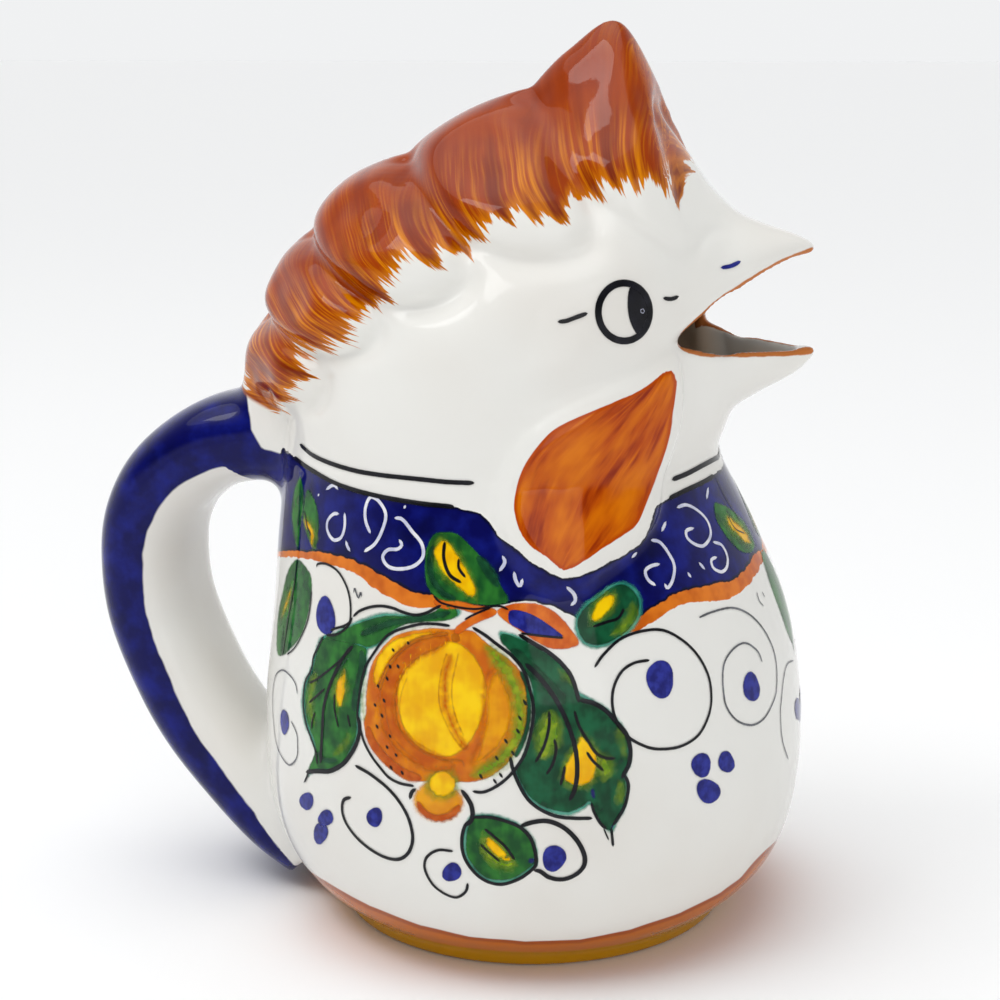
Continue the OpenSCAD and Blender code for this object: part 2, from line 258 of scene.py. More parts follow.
# Places on the skin of the pot and head at an angle round the neck and a height
def skinPlaces(angle, z, lift):
    x, radius = potSection(np.minimum(z, pot["neckHigh"]))
    row = flow(head["dome"], np.clip((z - pot["neckHigh"]) / head["high"], 0, 1))
    high = z > pot["neckHigh"]
    x = np.where(high, neckX + pot["neckR"] * row[:, 1], x)
    long = np.where(high, pot["neckR"] * row[:, 2], radius) + lift
    wide = np.where(high, head["cheek"] * row[:, 3], radius) + lift
    return np.stack([x + long * np.cos(angle), wide * np.sin(angle), z], -1)


def wattleRings(side):
    down = np.linspace(0, 1, 60)
    row = flow(wattle["outline"], down)
    across = np.concatenate([-row[:, 1], row[::-1, 2]]) * wattle["wide"]
    down = np.concatenate([down, down[::-1]])
    cos, sin = math.cos(math.radians(wattle["tilt"])), math.sin(math.radians(wattle["tilt"]))
    rings = []
    for size, lift in wattle["pad"]:
        along = size * across
        drop = wattle["long"] * (0.5 + size * (down - 0.5))
        angle = -math.radians(wattle["turn"]) + (along * cos - drop * sin) / pot["neckR"]
        z = pot["neckHigh"] + wattle["rise"] - (along * sin + drop * cos)
        rings.append(skinPlaces(angle, z, lift * wattle["thick"]) * (1, side, 1))
    return np.stack(rings)


# The handle is a strap with rounded edges along a middle line
handle = {
    "reach": 97, "top": 112.5, "low": 10.5, "wide": 36, "thick": 22, "power": 2.5,
    "way": [(0, 0.6, 1), (0.09, 0.7, 1), (0.19, 0.814, 0.971), (0.29, 0.924, 0.894),
            (0.38, 0.982, 0.802), (0.46, 1, 0.706), (0.57, 0.988, 0.564), (0.68, 0.928, 0.409),
            (0.78, 0.856, 0.284), (0.86, 0.757, 0.167), (0.93, 0.654, 0.065), (1, 0.557, 0)],
}


def handleWay(shares):
    row = flow(handle["way"], shares)
    return np.stack([-handle["reach"] * row[:, 1],
                     handle["low"] + (handle["top"] - handle["low"]) * row[:, 2]], -1)


def handleRings():
    shares = np.linspace(0, 1, 180)
    way = handleWay(shares)
    along = handleWay(np.minimum(shares + 0.01, 1)) - handleWay(np.maximum(shares - 0.01, 0))
    along /= np.linalg.norm(along, axis=1)[:, None]
    cos, sin = circle(96)
    deep = handle["thick"] / 2 * signedPower(cos, 2 / handle["power"])
    side = handle["wide"] / 2 * signedPower(sin, 2 / handle["power"])
    return np.stack([way[:, :1] + along[:, 1:] * deep, np.repeat(side[None], len(way), 0),
                     way[:, 1:] - along[:, :1] * deep], -1)


# Distances to a closed skin on one grid over the whole pitcher
grid = {"voxel": 0.8, "low": (-114.0, -70.0, -4.0), "high": (72.0, 70.0, 220.0), "band": 9}
gridLow = np.array(grid["low"])
gridShape = tuple(np.ceil((np.array(grid["high"]) - gridLow) / grid["voxel"]).astype(int))


def distanceTo(rings):
    points, quads, triangles = loft(rings)
    level = openvdb.FloatGrid.createLevelSetFromPolygons(
        ((points - gridLow) / grid["voxel"]).astype(np.float32), triangles=triangles.astype(np.uint32),
        quads=quads.astype(np.uint32), halfWidth=float(grid["band"]))
    values = np.empty(gridShape, np.float32)
    level.copyToArray(values)
    return values * grid["voxel"]


# Union of two fields with a fillet of about the given reach
def join(a, b, reach):
    near = np.maximum(reach - np.abs(a - b), 0) / reach
    return np.minimum(a, b) - near * near * reach / 4


def blur(values, rounds):
    for _ in range(rounds):
        for axis in range(3):
            ahead = np.roll(values, 1, axis)
            ahead += np.roll(values, -1, axis)
            values = values * 0.5 + ahead * 0.25
    return values


# Values of a field at places in millimetres, between its voxels
def sample(values, places):
    at = np.clip((places - gridLow) / grid["voxel"], 0, np.array(gridShape) - 1.001)
    i = at.astype(int)
    f = (at - i).astype(np.float32)
    total = np.zeros(len(places), np.float32)
    for corner in range(8):
        bit = np.array([corner & 1, corner >> 1 & 1, corner >> 2])
        weight = np.prod(np.where(bit, f, 1 - f), axis=1)
        total += weight * values[tuple((i + bit).T)]
    return total


def slopeAt(values, places, reach):
    out = np.empty(places.shape)
    for axis in range(3):
        step = np.zeros(3)
        step[axis] = reach
        out[:, axis] = sample(values, places + step) - sample(values, places - step)
    return out / np.maximum(np.linalg.norm(out, axis=1), 1e-9)[:, None]


# How far along the comb's row of lobes places lie, in steps of the row, and how high over the
# root as a share of the rise there
combSteps = np.linspace(0, comb["creases"][-1], 160)
combSearch = {"farBelow": -30, "farther": 50, "leastPace": 0.05}  # places far below a root don't go to it


def combPlaces(x, z):
    row = flow(comb["way"], combSteps)
    size = np.array([pot["neckR"], comb["high"]])
    start = np.array([neckX, pot["neckHigh"]])
    ridge, root = start + row[:, 1:3] * size, start + row[:, 3:5] * size
    rise = np.linalg.norm(ridge - root, axis=1)
    up = (ridge - root) / rise[:, None]
    away = np.stack([x, z], -1)[:, None] - root
    beside = away[..., 0] * up[:, 1] - away[..., 1] * up[:, 0]
    height = (away * up).sum(-1)
    tooLow = combSearch["farther"] * (height < combSearch["farBelow"])
    nearest = np.clip(np.argmin(np.abs(beside) + tooLow, 1), 1, len(combSteps) - 2)
    pick = np.arange(len(x))
    pace = (beside[pick, nearest + 1] - beside[pick, nearest - 1]) / 2
    pace = np.where(np.abs(pace) < combSearch["leastPace"], -combSearch["leastPace"], pace)
    part = np.clip(-beside[pick, nearest] / pace, -1, 1)
    return nearest + part, height[pick, nearest] / rise[nearest]


# Each lobe is pressed in below its rim, and a furrow runs down between lobes into the white
relief = {
    "dimple": 2.0, "dimpleHigh": 0.64, "dimpleTall": 0.23, "dimpleWide": 0.3, "lastDimple": 0.3,
    "furrow": 2.2, "furrowWide": 0.16, "furrowFoot": 0.05, "furrowIn": 0.25, "furrowTop": 1.1,
    "furrowOut": 0.3, "scallopLow": -0.13, "scallopRise": 0.3, "scallopPower": 2.5, "valley": 1.7,
    "valleyWide": 0.11, "valleyFrom": 0.3, "clearOfRidge": 7.0,
}


def combRelief():
    xs, ys, zs = [low + grid["voxel"] * np.arange(n) for low, n in zip(gridLow, gridShape)]
    x, z = [a.ravel() for a in np.meshgrid(xs, zs, indexing="ij")]
    along, high = combPlaces(x, z)
    lobes = len(comb["creases"]) - 1
    creaseSteps = np.interp(comb["creases"], combSteps, np.arange(len(combSteps)))
    lobe = np.interp(along, creaseSteps, np.arange(lobes + 1))
    part = lobe % 1
    aside = (part - np.where(lobe > lobes - 1, relief["lastDimple"], 0.5)) / relief["dimpleWide"]
    above = (high - relief["dimpleHigh"]) / relief["dimpleTall"]
    dimple = relief["dimple"] * np.exp(-(aside ** 2 + above ** 2) ** 2)
    inner = (lobe > 0.5) & (lobe < lobes - 0.5)
    furrow = relief["furrow"] * np.exp(-(np.minimum(part, 1 - part) / relief["furrowWide"]) ** 2) * inner
    furrow *= (np.clip((high - relief["furrowFoot"]) / relief["furrowIn"], 0, 1)
               * np.clip((relief["furrowTop"] - high) / relief["furrowOut"], 0, 1))
    # each lobe ends below in a rounded edge with a soft valley under it
    foot = relief["scallopLow"] + relief["scallopRise"] * np.abs(2 * part - 1) ** relief["scallopPower"]
    valley = relief["valley"] * np.exp(-((high - foot) / relief["valleyWide"]) ** 2)
    valley = valley * (lobe > relief["valleyFrom"])
    flat = (dimple + furrow + valley).reshape(len(xs), 1, len(zs)).astype(np.float32)
    side = np.clip(np.abs(ys) / relief["clearOfRidge"], 0, 1)
    return flat * (side * side * (3 - 2 * side)).astype(np.float32)[None, :, None]


glazeSoft = {"neck": 3.0, "comb": 4.0, "beak": 5.0, "handle": 7.0, "wattle": 2.8, "rim": 2.2}
potHeights = np.linspace(pot["footHigh"], pot["neckHigh"], 150)
hollowHeights = potHeights[potHeights > pot["footHigh"] + pot["wall"]]
domeShares = 1 - (1 - np.linspace(0, 1, 130)) ** 1.4
outsides = {
    "body_shell": distanceTo(np.concatenate([footRings(), potRings(potHeights)])),
    "head_shell": distanceTo(domeRings(domeShares)),
    "comb": distanceTo(combRings()),
    "upper_beak": distanceTo(beakRings(beak["upper"])),
    "lower_beak": distanceTo(beakRings(beak["lower"])),
    "wattle_right": distanceTo(wattleRings(1)),
    "wattle_left": distanceTo(wattleRings(-1)),
    "handle": distanceTo(handleRings()),
}
cavity = domeRings(domeShares, -pot["wall"], pot["wall"] / 4)
hollows = {
    "body_shell": distanceTo(np.concatenate([potRings(hollowHeights, -pot["wall"]),
                                             potRings([pot["neckHigh"]], -pot["wall"]) + (0, 0, 1)])),
    "head_shell": distanceTo(cavity),
    "comb": distanceTo(combRings(pot["wall"])),
    "upper_beak": distanceTo(beakRings(beak["upper"], beak["cavityShare"], beak["wall"], beak["wall"])),
    "lower_beak": distanceTo(beakRings(beak["lower"], beak["cavityShare"], beak["wall"], beak["wall"])),
}
throat = np.minimum(distanceTo(throatRings()), distanceTo(cornerRings()))
print("members measured")

solid = join(outsides["body_shell"], outsides["head_shell"], glazeSoft["neck"])
solid = join(solid, outsides["comb"], glazeSoft["comb"]) + combRelief()
beaks = np.minimum(outsides["upper_beak"], outsides["lower_beak"])
solid = join(solid, beaks, glazeSoft["beak"])
solid = join(solid, outsides["handle"], glazeSoft["handle"])
for name in ("wattle_right", "wattle_left"):
    solid = join(solid, outsides[name], glazeSoft["wattle"])
leastWall = 2.4
empty = throat
for name, values in hollows.items():
    if name in ("comb", "head_shell"):
        values = np.maximum(values, solid + leastWall)
    empty = join(empty, values, glazeSoft["rim"])
skinField = blur(-join(-solid, empty, glazeSoft["rim"]), 2)
print("members joined under the glaze")

level = openvdb.FloatGrid()
level.copyFromArray(skinField)
points, triangles, quads = level.convertToPolygons(isovalue=0.0, adaptivity=0.0)
points = points.astype(float) * grid["voxel"] + gridLow
for _ in range(2):
    points -= slopeAt(skinField, points, grid["voxel"]) * sample(skinField, points)[:, None]
print("skin", len(points), "points", len(quads), "quads", len(triangles), "triangles")


# The hollow's far side and the smooth belly need no fine mesh: points are drawn together there
# in coarser cells, whose sizes are in voxels. The other lengths are millimetres.
coarse = {"hollow": 2.6, "belly": 2.2, "bellyFrom": 18, "bellyTo": 70, "under": 3.2, "clear": 6,
          "cellsAcross": 1000, "rounds": 4}
others = np.min([sample(values, points) for name, values in outsides.items() if name != "body_shell"], 0)
deep = sample(solid, points) < -coarse["under"]
belly = ~deep & (others > coarse["clear"])
belly &= (points[:, 2] > coarse["bellyFrom"]) & (points[:, 2] < coarse["bellyTo"])
key = -1 - np.arange(len(points))
for kind, (size, chosen) in enumerate(((coarse["belly"], belly), (coarse["hollow"], deep))):
    cell = np.floor((points[chosen] - gridLow) / (size * grid["voxel"])).astype(np.int64)
    row = (cell[:, 0] * coarse["cellsAcross"] + cell[:, 1]) * coarse["cellsAcross"] + cell[:, 2]
    key[chosen] = row * 2 + kind
_, merged = np.unique(key, return_inverse=True)
count = np.bincount(merged)
points = np.stack([np.bincount(merged, points[:, axis]) / count for axis in range(3)], -1)
faces = merged[np.concatenate([quads[:, [0, 1, 2]], quads[:, [0, 2, 3]], triangles]).astype(int)]
faces = faces[(faces[:, 0] != faces[:, 1]) & (faces[:, 1] != faces[:, 2]) & (faces[:, 0] != faces[:, 2])]
drawn = count > 1
for _ in range(coarse["rounds"]):
    total, share = np.zeros_like(points), np.zeros(len(points))
    for a, b in ((0, 1), (1, 2), (2, 0), (1, 0), (2, 1), (0, 2)):
        share += np.bincount(faces[:, a], minlength=len(points))
        total += np.stack([np.bincount(faces[:, a], points[faces[:, b], axis], len(points))
                           for axis in range(3)], -1)
    points[drawn] = (total / np.maximum(share, 1)[:, None])[drawn]
    points -= slopeAt(skinField, points, grid["voxel"]) * sample(skinField, points)[:, None]
normals = slopeAt(skinField, points, 1.2 * grid["voxel"])
corner = points[faces]
turned = (np.cross(corner[:, 1] - corner[:, 0], corner[:, 2] - corner[:, 0]) * normals[faces[:, 0]]).sum(1)
if turned.sum() < 0:
    faces, turned = faces[:, ::-1], -turned
print("folded triangles left out", (turned < 0).sum())
faces = faces[turned >= 0]

# Each face belongs to the member whose own skin is nearest
owners = list(outsides.items()) + list(hollows.items()) + [("head_shell", throat)]
middle = points[faces].mean(1)
nearest = np.argmin(np.stack([np.abs(sample(values, middle)) for _, values in owners]), 0)
ownerOf = np.array([name for name, _ in owners])[nearest]
print("skin", len(points), "points", len(faces), "triangles")


# The photograph's place of points in millimetres, as pixels across and down
camera = {"turn": 12.0, "tilt": 12.66, "eye": (100.09, -456.28, 203.31), "pixels": 1000, "focal": 1998.6,
          "middle": (546.0, 500.0), "pixelsPerMm": 4.2}
turn, tilt = math.radians(camera["turn"]), math.radians(camera["tilt"])
eye = np.array(camera["eye"])
right = np.array([math.cos(turn), math.sin(turn), 0.0])
ahead = np.array([-math.sin(turn) * math.cos(tilt), math.cos(turn) * math.cos(tilt), -math.sin(tilt)])
upward = np.cross(right, ahead)


def pixelsOf(places):
    away = np.asarray(places, float) - eye
    deepness = away @ ahead
    return np.stack([camera["middle"][0] + camera["focal"] * (away @ right) / deepness,
                     camera["middle"][1] - camera["focal"] * (away @ upward) / deepness], -1)


skinTree = BVHTree.FromPolygons([Vector(p) for p in points], faces.tolist())


# Places on the skin seen at pixels, and which of the pixels see it
def seenAt(pixels):
    places = np.zeros((len(pixels), 3))
    found = np.zeros(len(pixels), bool)
    for i, (across, down) in enumerate(pixels):
        ray = Vector(ahead + (across - camera["middle"][0]) / camera["focal"] * right
                     - (down - camera["middle"][1]) / camera["focal"] * upward).normalized()
        place = skinTree.ray_cast(Vector(eye), ray)[0]
        if place is not None:
            places[i], found[i] = place, True
    return places, found


# Distance in millimetres from pixels to a closed outline, positive inside it
def insideOf(pixels, outline):
    outline = np.asarray(outline, float)
    best = np.full(len(pixels), 1e9)
    within = np.zeros(len(pixels), bool)
    for a, b in zip(outline, np.roll(outline, -1, 0)):
        side = b - a
        share = np.clip(((pixels - a) @ side) / max(side @ side, 1e-9), 0, 1)
        best = np.minimum(best, np.linalg.norm(pixels - a - share[:, None] * side, axis=1))
        rise = b[1] - a[1] if b[1] != a[1] else 1e-9
        within ^= ((a[1] > pixels[:, 1]) != (b[1] > pixels[:, 1])) & (
            pixels[:, 0] < a[0] + (pixels[:, 1] - a[1]) / rise * side[0])
    return np.where(within, best, -best) / camera["pixelsPerMm"]


# Smooth closed outline through a few pixels
def rounded(outline, between=5):
    outline = np.asarray(outline, float)
    turns = np.arange(-2, len(outline) + 3)
    rows = np.column_stack([turns, outline[turns % len(outline)]])
    return flow(rows, np.arange(0, len(outline), 1 / between))[:, 1:]


# Edges of the large painted areas, in pixels of the photograph. Both sides of the pitcher are
# painted alike: a place on the far side is looked up at its mirror image on the near one.
paintedAreas = {
    "comb": [(248, 409), (278, 412), (299, 385), (305, 361), (353, 334), (377, 304), (395, 283),
             (410, 268), (473, 247), (491, 224), (513, 214), (560, 217), (597, 202), (605, 188),
             (623, 185), (671, 191), (676, 170), (692, 157), (760, 120), (640, -60), (380, 20),
             (160, 300), (222, 350), (240, 384)],
    "collar": [(283, 448), (294, 457), (309, 468), (338, 484), (374, 495), (418, 503),
               (455, 507), (479, 513), (488, 521), (499, 536), (510, 544), (523, 555), (531, 562),
               (550, 573), (563, 578), (581, 576), (603, 566), (624, 555), (640, 544), (649, 529),
               (655, 508), (668, 499), (686, 490), (705, 481), (714, 475), (722, 468), (760, 448),
               (820, 440), (820, 520), (754, 554), (746, 569), (733, 581), (705, 586), (686, 590),
               (672, 595), (661, 603), (646, 612), (625, 625), (600, 630), (575, 617), (557, 608),
               (538, 603), (525, 601), (499, 605), (483, 607), (460, 603), (433, 595), (412, 592),
               (399, 585), (385, 577), (370, 568), (353, 560), (334, 555), (316, 552), (290, 551),
               (230, 551)],
    "bandLeft": [(230, 545), (290, 545), (353, 555), (399, 580), (433, 590), (450, 598), (445, 606),
                 (427, 608), (407, 606), (388, 597), (374, 588), (357, 575), (340, 568), (312, 560),
                 (288, 557), (230, 557)],
    "bandRight": [(820, 500), (754, 545), (733, 575), (686, 584), (646, 605), (618, 625), (624, 634),
                  (649, 625), (668, 612), (683, 604), (705, 602), (729, 599), (746, 588), (757, 573),
                  (770, 556), (820, 536)],
    "handle": [(246, 370), (246, 392), (252, 430), (262, 448), (290, 457), (310, 470), (310, 1000),
               (0, 1000), (0, 300), (230, 340)],
    "foot": [(230, 800), (290, 853), (303, 866), (330, 884), (370, 906), (420, 925), (470, 937), (525, 942),
             (580, 940), (630, 930), (680, 913), (720, 893), (740, 878), (757, 858), (820, 800), (900, 1100),
             (150, 1100)],
    "wattle": [(672, 371), (676, 380), (676, 390), (667, 447), (644, 510), (635, 526), (623, 535),
               (600, 550), (567, 570), (548, 558), (525, 540), (514, 510), (519, 479), (534, 451),
               (560, 426), (605, 406), (641, 390), (662, 374)],
}

# Millimetres: how deep the outside and the inside begin, how far from a member its paint is
# worked out, and how far one member's paint stays off the next member
paintReach = {"outside": 1.6, "inside": 1.4, "comb": 6.5, "handle": 6.5, "wattle": 3, "beak": 3,
              "combOff": 3, "combOffPace": 1.2, "handleOff": 0.6, "footOff": 1.5, "footMost": 1.0}
solidHere = sample(solid, points)
outer = np.flatnonzero(solidHere > -paintReach["outside"])
outerPixels = pixelsOf(points[outer] * (1, 0, 1) - np.abs(points[outer]) * (0, 1, 0))
unpainted = -9.0


def onOuter(amounts, where=outer):
    whole = np.full(len(points), unpainted)
    whole[where] = amounts
    return whole


# Millimetres to a step of the comb's row and to its full rise. The strokes turn with the width,
# so that they fan out over the front of the spike.
combBrush = {"pace": 1.15, "tall": 38, "fan": 0.3}
combPoints = np.flatnonzero(sample(outsides["comb"], points) < paintReach["comb"])
combAcross, combRise = combPlaces(points[combPoints, 0], points[combPoints, 2])
combAcross = combAcross + combBrush["fan"] * np.abs(points[combPoints, 1])
handlePoints = np.flatnonzero(sample(outsides["handle"], points) < paintReach["handle"])
handleMiddle = handleWay(np.linspace(0, 1, 160))
handleAlong = np.gradient(handleMiddle, axis=0)
handleAlong /= np.linalg.norm(handleAlong, axis=1)[:, None]
away = points[handlePoints][:, None, [0, 2]] - handleMiddle
nearest = np.argmin((away ** 2).sum(-1), 1)
away = away[np.arange(len(nearest)), nearest]
outward = away[:, 0] * handleAlong[nearest, 1] - away[:, 1] * handleAlong[nearest, 0]
# The blue wraps the whole strap at its upper end and narrows to its back at the lower one
handleBlue = {"share": (0, 0.07, 0.13, 0.45, 0.75, 0.9, 1), "reach": (30, 12, 5, 4.2, 2.6, 0.5, -5)}
outward += np.interp(nearest / len(handleMiddle), handleBlue["share"], handleBlue["reach"])
handleDistance = sample(outsides["handle"], points[outer])
clear = np.min([sample(outsides[name], points[handlePoints])
                for name in ("body_shell", "head_shell", "comb")], 0)


# Places on a wattle as its own drawing has them: across as a share of the half width, and down
def wattlePlaces(places):
    x, radius = potSection(np.minimum(places[:, 2], pot["neckHigh"]))
    angle = np.arctan2(-np.abs(places[:, 1]), places[:, 0] - x) + math.radians(wattle["turn"])
    a, b = angle * pot["neckR"], pot["neckHigh"] + wattle["rise"] - places[:, 2]
    cos, sin = math.cos(math.radians(wattle["tilt"])), math.sin(math.radians(wattle["tilt"]))
    across, down = a * cos + b * sin, b * cos - a * sin
    row = flow(wattle["outline"], np.clip(down / wattle["long"], 0.03, 0.97))
    return across / np.where(across < 0, row[:, 1], row[:, 2]) / wattle["wide"], down


wattlePoints = np.flatnonzero(np.minimum(sample(outsides["wattle_left"], points),
                                         sample(outsides["wattle_right"], points)) < paintReach["wattle"])
wattleAcross, wattleDown = wattlePlaces(points[wattlePoints])

# The beak's lips: a line along the edge of each half, from a share of its length on, with its
# half width there and at the tip
lips = {"upper": (0.42, 2.2, 1.3), "lower": (0.38, 1.9, 1.7)}
beakPoints = np.flatnonzero(np.minimum(sample(outsides["upper_beak"], points),
                                       sample(outsides["lower_beak"], points)) < paintReach["beak"])
lipLines, lipReach = [], []
for half, (first, atFirst, atTip) in lips.items():
    edge, _, wide = beakArches(beak[half], np.linspace(first, 1, 120))[1:]
    lipLines += [np.stack([edge[:, 0], side * wide[:, 0], edge[:, 1]], -1) for side in (1, -1)]
    lipReach += [np.linspace(atFirst, atTip, len(edge))] * 2
lipLines, lipReach = np.concatenate(lipLines), np.concatenate(lipReach)
away = np.linalg.norm(points[beakPoints][:, None] - lipLines, axis=-1)
lip = onOuter((lipReach - away).max(1), beakPoints)
skinValues = {
    "combPaint": onOuter(insideOf(outerPixels, paintedAreas["comb"])),
    "combClear": onOuter(paintReach["combOffPace"] * handleDistance - paintReach["combOff"]),
    "combAcross": onOuter(combAcross * combBrush["pace"], combPoints),
    "combRise": onOuter(combRise * combBrush["tall"], combPoints),
    "collar": onOuter(insideOf(outerPixels, paintedAreas["collar"])),
    "band": onOuter(np.maximum(insideOf(outerPixels, rounded(paintedAreas["bandLeft"])),
                               insideOf(outerPixels, rounded(paintedAreas["bandRight"])))),
    "wattlePaint": onOuter(insideOf(outerPixels, rounded(paintedAreas["wattle"]))),
    "wattleDown": onOuter(wattleDown, wattlePoints),
    "wattleAcross": onOuter(wattleAcross, wattlePoints),
    "footPaint": np.minimum(sample(outsides["handle"], points) - paintReach["footOff"],
                            paintReach["footMost"]),
    "foot": onOuter(insideOf(outerPixels, paintedAreas["foot"])),
    "handlePaint": np.minimum(onOuter(np.minimum(outward, clear - paintReach["handleOff"]), handlePoints),
                              onOuter(insideOf(outerPixels, paintedAreas["handle"]))),
    "rim": lip,
    # within marks the mouth and the hollow, where a warm painted shade goes
    "within": -paintReach["inside"] - solidHere,
}
print("painted areas placed")


def buildMesh(name, places, corners, facing, numbers):
    mesh = bpy.data.meshes.new(name)
    mesh.from_pydata(places * mm, [], corners)
    mesh.shade_smooth()
    mesh.normals_split_custom_set_from_vertices(facing)
    for key, amounts in numbers.items():
        mesh.attributes.new(key, "FLOAT", "POINT").data.foreach_set("value", np.asarray(amounts, np.float32))
    piece = bpy.data.objects.new(name, mesh)
    bpy.context.scene.collection.objects.link(piece)
    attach(piece, "root")
    return piece


def linear(hexColour):
    parts = [int(hexColour[i:i + 2], 16) / 255 for i in (1, 3, 5)]
    return [p / 12.92 if p <= 0.04045 else ((p + 0.055) / 1.055) ** 2.4 for p in parts] + [1.0]


# A node of a kind with its settings. What feeds it is a number, a colour, a result or a node,
# in the order of its sockets in use, and a node stands for its first result in use.
def addNode(tree, kind, *feeds, **settings):
    node = tree.nodes.new("ShaderNode" + kind)
    for key, value in settings.items():
        setattr(node, key, value)
    for socket, feed in zip([socket for socket in node.inputs if socket.enabled], feeds):
        if isinstance(feed, bpy.types.Node):
            feed = next(result for result in feed.outputs if result.enabled)
        if isinstance(feed, bpy.types.NodeSocket):
            tree.links.new(feed, socket)
        else:
            socket.default_value = feed
    return node


# Settings that many nodes share
smooth = {"interpolation_type": "SMOOTHSTEP"}
inColour = {"data_type": "RGBA"}
plus, minus, least, most = [{"operation": name} for name in ("ADD", "SUBTRACT", "MINIMUM", "MAXIMUM")]
times, over = {"operation": "MULTIPLY"}, {"operation": "DIVIDE"}


# Noise round 0, from about -0.5 to 0.5, with features of a real size in millimetres
def grain(tree, size, detail=2.0):
    place = addNode(tree, "TexCoord").outputs["Object"]
    return addNode(tree, "Math", addNode(tree, "TexNoise", place, 1 / (size * mm), detail), 0.5, **minus)


# The same noise drawn out into brush marks by two lengths in millimetres
def streaks(tree, across, acrossSize, along, alongSize, detail=3.0):
    place = addNode(tree, "CombineXYZ", addNode(tree, "Math", across, acrossSize, **over),
                    addNode(tree, "Math", along, alongSize, **over))
    return addNode(tree, "Math", addNode(tree, "TexNoise", place, 1.0, detail), 0.5, **minus)


# Lead glaze over tin white: a hard gloss with faint waves where it ran, as real maiolica has.
# The widths of its waves are in millimetres, where it ran and where it dripped, and the height
# is in metres.
glaze = {"ran": 17, "dripped": 3.5, "drippedShare": 0.12, "waves": 0.35, "waveHigh": 0.0005, "blur": 0.1,
         "look": {"Roughness": 0.06, "IOR": 1.5, "Specular IOR Level": 0.2}}


def glossyGlaze(name, base, alpha=None):
    material = bpy.data.materials.new(name)
    material.use_nodes = True
    tree = material.node_tree
    drips = addNode(tree, "Math", grain(tree, glaze["dripped"]), glaze["drippedShare"], **times)
    waves = addNode(tree, "Math", grain(tree, glaze["ran"]), drips, **plus)
    bump = addNode(tree, "Bump", glaze["waves"], glaze["waveHigh"], glaze["blur"], waves)
    links = {"Normal": bump.outputs["Normal"], "Base Color": base(tree).outputs[2]}
    if alpha:
        links["Alpha"] = alpha(tree).outputs[0]
    shader = tree.nodes["Principled BSDF"]
    for key, value in glaze["look"].items():
        shader.inputs[key].default_value = value
    for key, source in links.items():
        tree.links.new(source, shader.inputs[key])
    return material


glazeColours = {
    "white": "#EAE9E4", "whiteThin": "#E3DFD8", "cobalt": "#02044F", "cobaltLight": "#0E1878",
    "cobaltDark": "#020422", "band": "#E07A1E", "bandDark": "#C05A12", "comb": "#A23E00",
    "combDark": "#742200", "combAmber": "#DA8200", "combRust": "#963608", "foot": "#BC6204",
    "footDark": "#9C4406", "footYellow": "#BC8606", "wattle": "#B64600", "wattleDark": "#862400",
    # inside: a warm tint painted as the shade in the mouth and hollow
    "wattleAmber": "#DC7600", "inside": "#F4E0CA", "rim": "#BC7038",
}


# Sizes of clouds and brush marks in the glaze, in millimetres. A pair is across and along, and
# across a wattle it is a share of its half width.
brush = {
    "cloud": 45, "cobalt": 6, "cobaltPool": 11, "edge": 2.5, "band": 5, "handleEdge": 9, "footEdge": 22,
    "footLine": 8.2, "combCloud": 13, "combFine": (0.9, 26.0), "combBroad": (5.0, 30.0), "lip": 3.0,
    "wattleFine": (0.1, 17.0), "wattleBroad": (0.4, 20.0),
}


